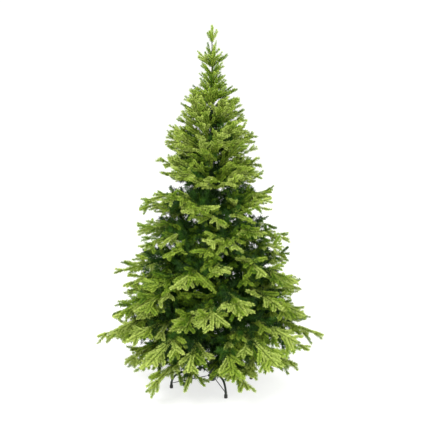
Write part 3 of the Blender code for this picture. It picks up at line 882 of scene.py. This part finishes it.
def wiresOf(name, wires, material):
    # Each wire comes as its path and its radius
    around = stems["sides"]
    points, corners, sides = [], [], []
    for path, thick in wires:
        start = len(points)
        for i, point in enumerate(path):
            ahead = (path[min(i + 1, len(path) - 1)] - path[max(i - 1, 0)]).normalized()
            up = facing(ahead, 0.0)
            across = up.cross(ahead)
            radius = thick * (1.0 - stems["thinning"] * i / (len(path) - 1))
            for k in range(around):
                turn = 2 * math.pi * k / around
                ridge = 1.0 + stems["ridge"] * math.cos(turn - i * math.pi / 2)
                points.append(point + (across * math.cos(turn) + up * math.sin(turn)) * radius * ridge)
        for i in range(len(path) - 1):
            for k in range(around):
                a = start + i * around + k
                b = start + i * around + (k + 1) % around
                corners += [a, b, b + around, a + around]
                sides.append(4)
        last = start + (len(path) - 1) * around
        corners += [start + k for k in reversed(range(around))]
        corners += [last + k for k in range(around)]
        sides += [around, around]
    return meshObject(name, np.array([tuple(p) for p in points]), corners, np.array(sides), [material])


def mount(piece, slot, *nodes):
    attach(piece, "root")
    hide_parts(*nodes)
    print(piece.name, len(piece.data.polygons))


for index, tier in enumerate(tiers):
    shoots, brushes, wires = Shoots(), Shoots(), []
    for place in range(tier["count"]):
        growBranch(index, place, shoots, brushes, wires)
    growAtPole(index, random.Random(seeds["atPole"] + index), brushes)
    nodes = [f"tier_{index + 1}_branch_{place + 1}" for place in range(tier["count"])]
    label = f"tier_{index + 1}"
    pieces = [
        needlesOn(label + "_needles", shoots, mouldedNeedle, mouldedMaterials, seeds["needles"] + index),
        needlesOn(label + "_brush", brushes, brushNeedle, brushMaterials, seeds["brush"] + index),
        twigsOf(label + "_twigs", shoots, twigMaterial),
        wiresOf(label + "_wires", wires, wireMaterial),
    ]
    for piece in pieces:
        mount(piece, "needles", *nodes)


# The leader: whorls of small shoots round a wire

leader = {
    "wireHeights": (1.7153, 2.125),
    "wireSteps": 40,
    "fingerLength": 0.085,
    "belowTop": 0.008,  # the topmost finger's stem ends this far below the tree's height
    "girths": (1.15, 0.42),  # of the topmost finger's needles, and of those on the bare stem
    "curl": 0.04,
    "smallestForked": 0.06,
    "extra": 3,  # more fingers in each whorl than the solid has
    "extraTurn": 188.0,
    "extraSwing": (-0.2, 0.2),  # of the step from one to the next
    "extraLift": (0.8, 1.3),
    "extraReach": (0.6, 1.0),
    "smallReach": 0.85,
    "swing": (-8, 8),
    "reachSpread": (0.88, 1.0),
    "liftSpread": (0.9, 1.1),
    "stagger": 0.004,  # between the heights of neighbours in a whorl
    "turnSpread": (-0.3, 0.3),
    "sideFingers": 0.110,  # a finger longer than this forks
    "fork": (0.42, 40.0, 0.48),  # where along it, at what angle, and each fork's share of its length
    "stemNeedles": (1.975, 2.105),  # the bare part of the stem carries short needles only
}
# Short fingers between the whorls
singles = {
    "count": 26,
    "heights": (1.700, 1.900),
    "lengths": (0.120, 0.080),
    "trim": (0.8, 1.1),
    "rise": (25.0, 48.0),
    "steeper": 0.0,
    "curl": 0.05,
}
# Sprays on the pole's own top section, between its tiers
poleSprays = {
    "count": 136,
    "heights": (1.200, 1.730),
    "lengths": (0.335, 0.165),
    "trim": (0.78, 1.05),
    "rise": (12.0, 34.0),
    "steeper": 12.0,  # degrees more at the top than at the bottom
    "longest": 0.062,
    "bareFoot": 0.2,
    "roll": 0.4,
}
whorls = [
    {"height": 1.745, "count": 5, "reach": 0.140, "lift": 0.070, "turn": 20.0},
    {"height": 1.795, "count": 4, "reach": 0.104, "lift": 0.062, "turn": 50.0},
    {"height": 1.845, "count": 4, "reach": 0.086, "lift": 0.056, "turn": 5.0},
    {"height": 1.900, "count": 4, "reach": 0.092, "lift": 0.056, "turn": 48.0},
    {"height": 1.955, "count": 5, "reach": 0.098, "lift": 0.062, "turn": 0.0},
    {"height": 1.972, "count": 3, "reach": 0.036, "lift": 0.100, "turn": 65.0},
    {"height": 2.100, "count": 3, "reach": 0.036, "lift": 0.055, "turn": 0.0},
]


def onStem(height):
    return Vector((0.0, 0.0, height))


def upTheStem(row, draw):
    # Where each shoot of a row that winds up the stem leaves it, its direction and its length
    low, high = row["heights"]
    long, short = row["lengths"]
    for i in range(row["count"]):
        share = i / (row["count"] - 1)
        length = (long + (short - long) * share) * draw.uniform(*row["trim"])
        rise = math.radians(draw.uniform(*row["rise"]) + row["steeper"] * share)
        turn = i * goldenTurn + draw.uniform(*leader["turnSpread"])
        yield low + (high - low) * share, turn, polar(math.cos(rise), turn, math.sin(rise)), length


def growLeader():
    draw = random.Random(seeds["leader"])
    fine = random.Random(seeds["leaderFans"])
    shoots = Shoots()
    upright, front = Vector((0, 0, 1)), Vector((0, -1, 0))
    foot = crown["treeHeight"] - leader["fingerLength"] - leader["belowTop"]
    low, high = leader["stemNeedles"]
    atTip, onBare = leader["girths"]
    shoots.add(onStem(foot), upright, front, leader["fingerLength"], 0.0, True, 1, atTip)
    # Painted shade: the short needles on the bare stem take the darkest tint
    shoots.add(onStem(low), upright, front, high - low, 0.0, False, 4, onBare)
    for whorl in whorls:
        height, lift = whorl["height"], whorl["lift"]
        for i in range(whorl["count"]):
            swing = draw.uniform(*leader["swing"])
            turn = math.radians(whorl["turn"] + 360.0 * i / whorl["count"] + swing)
            reach = whorl["reach"] * draw.uniform(*leader["reachSpread"])
            root = onStem(height + leader["stagger"] * (i % 2))
            tip = polar(reach, turn, height + lift * draw.uniform(*leader["liftSpread"]))
            draw.uniform(-60, 60)  # the roll of the solid's blade
            out = tip - root
            tint = fine.choice((0, 1, 1, 2))
            shoots.add(root, out, facing(out, 0.0), out.length, leader["curl"], True, tint)
            if out.length > leader["sideFingers"]:
                forkAt, angle, share = leader["fork"]
                for side in (-1, 1):
                    aside = turned(out.normalized(), facing(out, 0.0), angle * side, 0.0)
                    spot = root.lerp(tip, forkAt)
                    shoots.add(spot, aside, facing(out, 0.0), out.length * share, 0.0, True, tint)
        isSmall = whorl["reach"] < leader["smallestForked"]
        extra = 2 if isSmall else whorl["count"] + leader["extra"]
        for i in range(extra):
            off = fine.uniform(*leader["extraSwing"]) * (not isSmall)
            turn = math.radians(leader["extraTurn"]) + 2 * math.pi * (i + off) / extra
            share = leader["smallReach"] if isSmall else fine.uniform(*leader["extraReach"])
            reach = whorl["reach"] * share
            root = onStem(height - leader["stagger"])
            out = polar(reach, turn, height + lift * fine.uniform(*leader["extraLift"])) - root
            tint = fine.choice((1, 1, 2, 3))
            shoots.add(root, out, facing(out, 0.0), out.length, leader["curl"], True, tint)
    for height, turn, out, length in upTheStem(singles, fine):
        tint = fine.choice((1, 2, 2, 3))
        shoots.add(onStem(height), out, facing(out, 0.0), length, singles["curl"], True, tint)
    for height, turn, out, length in upTheStem(poleSprays, fine):
        root = polar(poleRadius(height), turn, height)
        up = facing(out, fine.uniform(-1, 1) * poleSprays["roll"])
        growFan([root, root + out * length], up, 1.0, fine, shoots, start=poleSprays["bareFoot"],
                longest=poleSprays["longest"], tint=fine.choice((0, 0, 1, 1, 1)), spread=fans["upperAngle"])
    return shoots


shoots = growLeader()
low, high = leader["wireHeights"]
steps = leader["wireSteps"]
leaderPath = [onStem(low + (high - low) * i / steps) for i in range(steps + 1)]
for piece in (needlesOn("leader_needles", shoots, leaderNeedle, mouldedMaterials, seeds["leaderNeedles"]),
              twigsOf("leader_twigs", shoots, twigMaterial),
              wiresOf("leader_wire", [(leaderPath, stems["leaderRadius"])], twigMaterial)):
    mount(piece, "needles", "leader")

# Pole and stand, modelled with the operators

stand = {
    "poleFoot": 0.026,
    "legTurn": 18.1,
    "legRadius": 0.0065,
    "footCircle": 0.262,
    "legSlope": 6.0,
    "legBend": 0.070,
    "shinTop": 0.023,
    "sole": 0.006,
    "gap": 0.0003,
    "bore": 0.0163,
    "outer": 0.0191,
    "upperRing": (0.120, 0.0030, 0.034),  # underside, thickness, radius
    "lowerRing": (0.050, 0.0060, 0.027),
    "braceRadius": 0.0026,
    "braceHeight": 0.032,
    "screwHeight": 0.148,
    "screwLength": 0.024,
    "screwTurn": 50.0,
    "screws": 3,
    "legEdge": 0.0008,
    "legEnd": 0.0012,  # between the socket and a leg's upper end
    "grooves": (0.0060, 0.0105, 0.0150),  # heights on a rubber foot
    "wingRise": 0.0078,  # a thumb screw's wing over its shank
    "wingThick": 0.0032,
    "threadEnd": 0.004,  # below a thumb screw's head
    "offBore": 0.0008,
    "ringEdge": 0.0007,
}
bracket = {
    "width": 0.0105,
    "tall": 0.0130,
    "wall": 0.0016,
    "edge": 0.0005,
    "hollow": 0.75,  # of its length
    "pinAt": 0.6,
    "pinOver": 0.0014,  # how far the pin's end stands out
    "offCollar": 0.0008,
    "collarOver": 0.0024,
    "collarTall": 0.020,
    "collarEdge": 0.0006,
}
ears = {
    "size": (0.017, 0.0025, 0.022),  # length, thickness, height
    "inSocket": 0.001,  # how far they reach into the socket and up into its ring
    "corner": 0.0065,
    "edge": 0.0004,
    "bolt": (0.6, 0.55),  # its place, of their length and height
    "nutLift": 0.0008,  # a washer's thickness
    "threadEnd": 0.0030,
}
# Pins that lie along y: radius, sides, and for each step its length and how much wider it gets
pins = {
    "pin": (0.0010, 10, ((0.0005, 2.4), (0.0008, 1.0), (0.0, 0.66), (bracket["width"] + 0.0002, 1.0),
                         (0.0, 1.5), (0.0008, 1.0), (0.0005, 0.42))),
    "washer": (0.0056, 18, ((0.0006, 1.0), (0.0002, 0.92))),
    "head": (0.0040, 6, ((0.0026, 1.0), (0.0005, 0.84))),
    "thread": (0.0022, 12, ((-0.0020, 1.0), (-0.0006, 0.7))),
    "wing": (0.0072, 20, ((0.0032, 1.0), (0.0004, 0.90), (-0.0010, 0.70))),
}
# Edges of turned parts, as steps out and up from a corner, or from the axis where no corner is given
edges = {
    "poleFoot": ((0.0148, 0), (0.0160, 0.0012)),
    "lip": ((0, -0.0100), (0.0005, -0.0088), (0.0005, -0.0012), (-0.0002, 0)),
    "crimp": ((0.0002, 0.0120), (0, 0.0124)),
    "poleTop": ((0, -0.0012), (-0.0010, 0), (-0.0020, 0), (-0.0020, -0.015)),
    "socketFoot": ((-0.0010, -0.0040), (0, -0.0030)),
    "belowRing": ((0, -0.0015), (0.0014, 0)),
    "aboveRing": ((0.0014, 0), (0, 0.0015)),
    "socketRim": ((0, 0.1668), (-0.0008, 0.1680)),
    "boreRim": ((0.0008, 0.1680), (0, 0.1672)),
    "clamp": ((0, -0.0035), (0.0010, -0.0035), (0.0016, -0.0028), (0.0016, 0.0028), (0.0010, 0.0035),
              (0, 0.0035), (0, -0.0035)),
    "shankFoot": ((0.0022, 0), (0.0030, 0.0008)),
    "thread": ((0.0026, 0.0006), (0.0030, 0.0012)),
    "shankHead": ((0.0030, 0), (0.0042, 0.0003), (0.0042, 0.0026), (0.0026, 0.0032)),
    "capSole": ((0.0088, 0), (0.0100, 0.0006), (0.0105, 0.0016)),
    "groove": ((0.0105, 0), (0.0099, 0.0006), (0.0099, 0.0014), (0.0105, 0.0020)),
    "capMouth": ((0.0105, 0.0196), (0.0100, 0.0206), (0.0090, 0.0210), (0.0074, 0.0210), (0.0071, 0.0204)),
}


def choose(*pieces):
    # Selects these alone, with the first one active
    if bpy.context.object and bpy.context.object.mode != "OBJECT":
        bpy.ops.object.mode_set(mode="OBJECT")
    bpy.ops.object.select_all(action="DESELECT")
    for piece in pieces:
        piece.select_set(True)
    if pieces:
        bpy.context.view_layer.objects.active = pieces[0]


def settle(*pieces):
    # Places and turns go into the points
    choose(*pieces)
    bpy.ops.object.transform_apply(location=True, rotation=True, scale=True)


def addBlock(place, size):
    choose()
    bpy.ops.mesh.primitive_cube_add(size=1.0, location=place, scale=size)
    bpy.ops.object.transform_apply(location=True, rotation=True, scale=True)
    return bpy.context.object


def startRound(name, radius, place, sides, tilt=(0.0, 0.0, 0.0), fill="NGON"):
    choose()
    bpy.ops.mesh.primitive_circle_add(vertices=sides, radius=radius, fill_type=fill, location=place,
                                      rotation=tilt)
    obj = bpy.context.object
    obj.name = name
    bpy.ops.object.mode_set(mode="EDIT")
    bpy.ops.mesh.select_all(action="SELECT")
    return obj


def drawOut(step, centre, size=(1.0, 1.0, 1.0)):
    # Extrudes what is selected and scales it about its new centre
    bpy.ops.mesh.extrude_region_move(TRANSFORM_OT_translate={"value": step})
    if size != (1.0, 1.0, 1.0):
        bpy.ops.transform.resize(value=size, center_override=centre)


def pinAlong(name, start):
    # A pin that lies along y, drawn out step by step from its end
    radius, sides, steps = pins[name]
    pin = startRound(name, radius, start, sides, tilt=(math.pi / 2, 0, 0))
    for step, width in steps:
        drawOut((0, step, 0), (start[0], 0, start[2]), (width, 1.0, width))
    return pin


def fromCorner(radius, height, steps):
    return [(radius + out, height + up) for out, up in steps]


def band(radius, low, high, edge):
    # The outside of a ring, with both its edges broken
    return [(radius - edge, low), (radius, low + edge), (radius, high - edge), (radius - edge, high)]


def lathe(name, profile, sides, isRing=False):
    # Drawn up from a circle ring by ring; a ring's profile ends where it began
    radius, height = profile[0]
    obj = startRound(name, radius, (0, 0, height), sides, fill="NOTHING" if isRing else "NGON")
    for (lastRadius, lastHeight), (radius, height) in zip(profile, profile[1:]):
        k = radius / lastRadius
        drawOut((0, 0, height - lastHeight), (0, 0, height), (k, k, 1.0))
    return obj


def finishPiece(obj, material, smoothAngle=32.0):
    settle(obj)
    bpy.ops.object.mode_set(mode="EDIT")
    bpy.ops.mesh.select_all(action="SELECT")
    bpy.ops.mesh.remove_doubles(threshold=1e-5)
    bpy.ops.mesh.delete_loose()
    bpy.ops.mesh.select_all(action="SELECT")
    bpy.ops.mesh.normals_make_consistent(inside=False)
    bpy.ops.object.mode_set(mode="OBJECT")
    bpy.ops.object.shade_smooth_by_angle(angle=math.radians(smoothAngle))
    obj.data.materials.clear()
    obj.data.materials.append(material)
    return obj


def bevelAll(obj, width):
    settle(obj)
    bevel = obj.modifiers.new("edge", "BEVEL")
    bevel.width = width
    bevel.segments = 1
    bevel.limit_method = "ANGLE"
    bpy.ops.object.modifier_apply(modifier=bevel.name)


def copied(obj, name, matrix):
    twin = obj.copy()
    twin.data = obj.data.copy()
    twin.name = name
    twin.data.transform(matrix)
    bpy.context.scene.collection.objects.link(twin)
    return twin


def joined(name, parts):
    choose(*parts)
    bpy.ops.object.join()
    bpy.ops.object.transform_apply(location=True, rotation=True, scale=True)
    parts[0].name = name
    return parts[0]


def aroundZ(degrees):
    return Matrix.Rotation(math.radians(degrees), 4, "Z")


def makePoleTube():
    # Three tubes, each crimped into the one below, whose mouth has a rolled lip; hollow at the top
    profile = fromCorner(0, stand["poleFoot"], edges["poleFoot"])
    for (radius, top), (upper, _) in zip(poleSections, poleSections[1:]):
        profile += [*fromCorner(radius, top, edges["lip"]), *fromCorner(upper, top, edges["crimp"])]
    profile += fromCorner(*poleSections[-1], edges["poleTop"])
    mount(finishPiece(lathe("pole_tube", profile, 40), poleMaterial), "pole_paint", "pole")


def makeBrackets():
    # A collar on the pole for each tier, and on it a folded socket with a pin for each branch
    long = crown["bracketLength"]
    socket = addBlock((long / 2, 0, 0), (long, bracket["width"], bracket["tall"]))
    bpy.ops.object.mode_set(mode="EDIT")
    bpy.ops.mesh.select_all(action="DESELECT")
    bpy.ops.object.mode_set(mode="OBJECT")
    for face in socket.data.polygons:
        face.select = face.normal.x > 0.9
    bpy.ops.object.mode_set(mode="EDIT")
    bpy.ops.mesh.select_mode(type="FACE")
    bpy.ops.mesh.inset(thickness=bracket["wall"])
    bpy.ops.mesh.extrude_region_move(TRANSFORM_OT_translate={"value": (-long * bracket["hollow"], 0, 0)})
    bpy.ops.object.mode_set(mode="OBJECT")
    bevelAll(socket, bracket["edge"])
    pin = pinAlong("pin", (long * bracket["pinAt"], -bracket["width"] / 2 - bracket["pinOver"], 0))
    socket = joined("socket", [socket, pin])
    parts = []
    for index, tier in enumerate(tiers):
        height = hingeHeight(index)
        inside = poleRadius(height) + crown["gap"]
        low, high = height - bracket["collarTall"] / 2, height + bracket["collarTall"] / 2
        outside = band(inside + bracket["collarOver"], low, high, bracket["collarEdge"])
        profile = [(inside, low), *outside, (inside, high), (inside, low)]
        parts.append(lathe(f"collar_{index}", profile, 28, isRing=True))
        for spot in range(tier["count"]):
            turn = aroundZ(tier["turn"] + 360.0 * spot / tier["count"])
            outward = Matrix.Translation((inside + bracket["offCollar"], 0, height))
            parts.append(copied(socket, "bracket", turn @ outward))
    bpy.data.objects.remove(socket)
    mount(finishPiece(joined("branch_brackets", parts), poleMaterial), "pole_paint", "pole")


def makeSocketTube():
    bore, outer = stand["bore"], stand["outer"]
    floor = stand["poleFoot"] - stand["gap"]
    profile = fromCorner(outer, floor, edges["socketFoot"])
    for underside, thick, wide in (stand["lowerRing"], stand["upperRing"]):
        top = underside + thick
        profile += [*fromCorner(outer, underside, edges["belowRing"]),
                    *band(wide, underside, top, stand["ringEdge"]),
                    *fromCorner(outer, top, edges["aboveRing"])]
    profile += [*fromCorner(outer, 0, edges["socketRim"]), *fromCorner(bore, 0, edges["boreRim"])]
    profile.append((bore, floor))
    mount(finishPiece(lathe("socket_tube", profile, 40), paintMaterial), "stand_paint", "stand_socket")


def mountRing(name, master, count, firstTurn, laid=Matrix.Identity(4)):
    # One piece of equal parts round the pole, on the socket
    parts = [copied(master, name, aroundZ(firstTurn + 360.0 * i / count) @ laid) for i in range(count)]
    bpy.data.objects.remove(master)
    mount(finishPiece(joined(name, parts), paintMaterial), "stand_paint", "stand_socket")


def makeEars():
    # Two ears with a bolt, washer and nut through them, for each leg
    long, thick, tall = ears["size"]
    ringFoot = stand["upperRing"][0]
    across = stand["legRadius"] + stand["gap"] + thick / 2
    overlap = ears["inSocket"]
    centre = (stand["outer"] + long / 2 - overlap, across, ringFoot - tall / 2 + overlap)
    ear = addBlock(centre, (long, thick, tall))
    for edge in ear.data.edges:
        a, b = (ear.data.vertices[i].co for i in edge.vertices)
        edge.select = abs(a.y - b.y) > thick / 2 and min(a.x, b.x) > centre[0]
    bpy.ops.object.mode_set(mode="EDIT")
    bpy.ops.mesh.select_mode(type="EDGE")
    bpy.ops.mesh.bevel(offset=ears["corner"], segments=6)
    bpy.ops.object.mode_set(mode="OBJECT")
    bevelAll(ear, ears["edge"])
    other = copied(ear, "ear", Matrix.Translation((0, -2 * across, 0)))
    boltOut, boltDown = ears["bolt"]
    x, z = stand["outer"] + long * boltOut, ringFoot - tall * boltDown
    face = across + thick / 2
    washer = pinAlong("washer", (x, face, z))
    head = pinAlong("head", (x, face + ears["nutLift"], z))
    settle(head, washer)
    nutSide = Matrix.Translation((x, 0, 0)) @ aroundZ(180.0) @ Matrix.Translation((-x, 0, 0))
    pieces = [ear, other, washer, head, copied(washer, "washer", nutSide), copied(head, "nut", nutSide)]
    thread = pinAlong("thread", (x, -face - ears["threadEnd"], z))
    mountRing("leg_hinges", joined("hinge", [*pieces, thread]), 4, stand["legTurn"])


def makeScrews():
    # A threaded shank and a pinched wing, drawn upright and laid down towards the pole
    length = stand["screwLength"]
    profile = fromCorner(0, 0, edges["shankFoot"])
    while profile[-1][1] < length - stand["threadEnd"]:
        profile += fromCorner(0, profile[-1][1], edges["thread"])
    shank = lathe("shank", [*profile, *fromCorner(0, length, edges["shankHead"])], 10)
    wing = pinAlong("wing", (0, -stand["wingThick"] / 2, length + stand["wingRise"]))
    start = Matrix.Translation((stand["bore"] + stand["offBore"], 0, stand["screwHeight"]))
    laid = start @ Matrix.Rotation(math.pi / 2, 4, "Y")
    mountRing("thumb_screws", joined("screw", [shank, wing]), stand["screws"], stand["screwTurn"], laid)


def makeLegs():
    # From the foot up: straight, spun round the bend, then along the slope to the hinge
    circle, bend, slope = stand["footCircle"], stand["legBend"], math.radians(stand["legSlope"])
    shinTop, wide, edge = stand["shinTop"], stand["legRadius"], stand["legEdge"]
    foot = stand["sole"] + stand["gap"]
    leg = startRound("leg", wide - edge, (circle, 0, foot), 20)
    drawOut((0, 0, edge), (circle, 0, foot), (wide / (wide - edge),) * 2 + (1.0,))
    drawOut((0, 0, shinTop - foot - edge), (circle, 0, foot))
    pivot = circle - bend
    bpy.ops.mesh.spin(steps=14, angle=math.pi / 2 - slope, center=(pivot, 0, shinTop), axis=(0, 1, 0))
    bendEnd = Vector((pivot + bend * math.sin(slope), 0, shinTop + bend * math.cos(slope)))
    run = (bendEnd.x - stand["outer"] - stand["legEnd"]) / math.cos(slope)
    inward = Vector((-math.cos(slope), 0, math.sin(slope)))
    drawOut(tuple(inward * (run - 0.001)), (0, 0, 0))
    drawOut(tuple(inward * 0.001), tuple(bendEnd + inward * run), (1.0, 0.86, 0.86))
    atBrace = math.asin((stand["braceHeight"] - shinTop) / bend)
    legAtBrace = pivot + bend * math.cos(atBrace)
    clamp = lathe("clamp", fromCorner(wide, 0, edges["clamp"]), 20, isRing=True)
    bpy.ops.object.mode_set(mode="OBJECT")
    tilted = Matrix.Translation((legAtBrace, 0, stand["braceHeight"])) @ Matrix.Rotation(-atBrace, 4, "Y")
    clamp.data.transform(tilted @ Matrix.Translation((0, 0, clamp.location.z)))
    clamp.location = (0, 0, 0)
    leg = finishPiece(joined("leg", [leg, clamp]), paintMaterial)
    brace = makeBrace(legAtBrace)
    cap = makeFoot()
    for i in range(4):
        turn = aroundZ(stand["legTurn"] + 90.0 * i)
        mount(copied(leg, f"leg_tube_{i + 1}", turn), "stand_paint", f"stand_leg_{i + 1}")
        mount(copied(brace, f"brace_rod_{i + 1}", turn), "stand_paint", f"stand_brace_{i + 1}")
        atFoot = turn @ Matrix.Translation((circle, 0, 0))
        mount(copied(cap, f"rubber_cap_{i + 1}", atFoot), "rubber", f"stand_foot_{i + 1}")
    for master in (leg, brace, cap):
        bpy.data.objects.remove(master)


def makeBrace(legAtBrace):
    # A rod with flattened ends, from the lower ring to the clamp
    underside, thick, wide = stand["lowerRing"]
    start = Vector((wide + 2 * stand["gap"], 0, underside + thick / 2))
    end = Vector((legAtBrace - stand["legRadius"] - 5 * stand["gap"], 0, stand["braceHeight"]))
    ahead = (end - start).normalized()
    tilt = ahead.to_track_quat("Z", "Y").to_euler()
    rod = startRound("brace", stand["braceRadius"] * 0.7, start, 12, tilt=tilt)
    total = (end - start).length
    # Distance along the rod, then its height and breadth there over the round rod's
    shape = [(0.0008, 0.50, 1.50), (0.0090, 0.50, 1.50), (0.0150, 1.0, 1.0), (total - 0.0150, 1.0, 1.0),
             (total - 0.0090, 0.50, 1.50), (total - 0.0008, 0.50, 1.50), (total, 0.35, 1.20)]
    last = (0.0, 0.7, 0.7)
    for at, tall, broad in shape:
        size = (1.0, broad / last[2], tall / last[1])
        drawOut(tuple(ahead * (at - last[0])), tuple(start + ahead * at), size)
        last = (at, tall, broad)
    return finishPiece(rod, paintMaterial)


def makeFoot():
    # A moulded cap with three grooves
    profile = fromCorner(0, 0, edges["capSole"])
    for height in stand["grooves"]:
        profile += fromCorner(0, height, edges["groove"])
    profile += fromCorner(0, 0, edges["capMouth"])
    return finishPiece(lathe("cap", [*profile, (profile[-1][0], stand["sole"])], 24), rubberMaterial)


makePoleTube()
makeBrackets()
makeSocketTube()
makeEars()
makeScrews()
makeLegs()


# Floor, light and camera

studio = {
    "floorSize": 60.0,
    "floorTone": (0.42, 0.42, 0.42, 1.0),
    "floorGlow": 0.7,
    "skyStrength": 1.08,
    "lights": {"key": ((-2.2, -3.4, 4.2), 200.0), "fill": ((3.0, -3.0, 2.4), 80.0)},  # place and power
    "lightSize": 2.4,
    "lightTarget": (0, 0, 1.0),
    "lens": 55.5,
    "camera": (0.006, -4.0, 1.42),
    "cameraTilt": 5.0,  # degrees below level
}


def addToScene(name, data, place, turn):
    obj = bpy.data.objects.new(name, data)
    obj.location = place
    obj.rotation_euler = turn
    bpy.context.scene.collection.objects.link(obj)
    return obj


def addFloor():
    bpy.ops.mesh.primitive_plane_add(size=studio["floorSize"], location=(0, 0, 0))
    floor = bpy.context.object
    floor.name = "floor"
    material, shader, _ = newMaterial("paleFloor", 0.9)
    shader.inputs["Base Color"].default_value = studio["floorTone"]
    shader.inputs["Emission Color"].default_value = (1.0, 1.0, 1.0, 1.0)
    shader.inputs["Emission Strength"].default_value = studio["floorGlow"]
    floor.data.materials.append(material)


def addLights():
    world = bpy.data.worlds.new("studio")
    world.use_nodes = True
    background = world.node_tree.nodes["Background"].inputs
    background["Color"].default_value = (1, 1, 1, 1)
    background["Strength"].default_value = studio["skyStrength"]
    bpy.context.scene.world = world
    for name, (place, power) in studio["lights"].items():
        light = bpy.data.lights.new(name, "AREA")
        light.shape = "DISK"
        light.size = studio["lightSize"]
        light.energy = power
        aim = Vector(studio["lightTarget"]) - Vector(place)
        addToScene(name, light, place, aim.to_track_quat("-Z", "Y").to_euler())
    bpy.context.scene.view_settings.view_transform = "Standard"


def addCamera():
    data = bpy.data.cameras.new("camera")
    data.lens = studio["lens"]
    turn = (math.radians(90.0 - studio["cameraTilt"]), 0, 0)
    bpy.context.scene.camera = addToScene("camera", data, studio["camera"], turn)


print("floor, light and camera")
addFloor()
addLights()
addCamera()
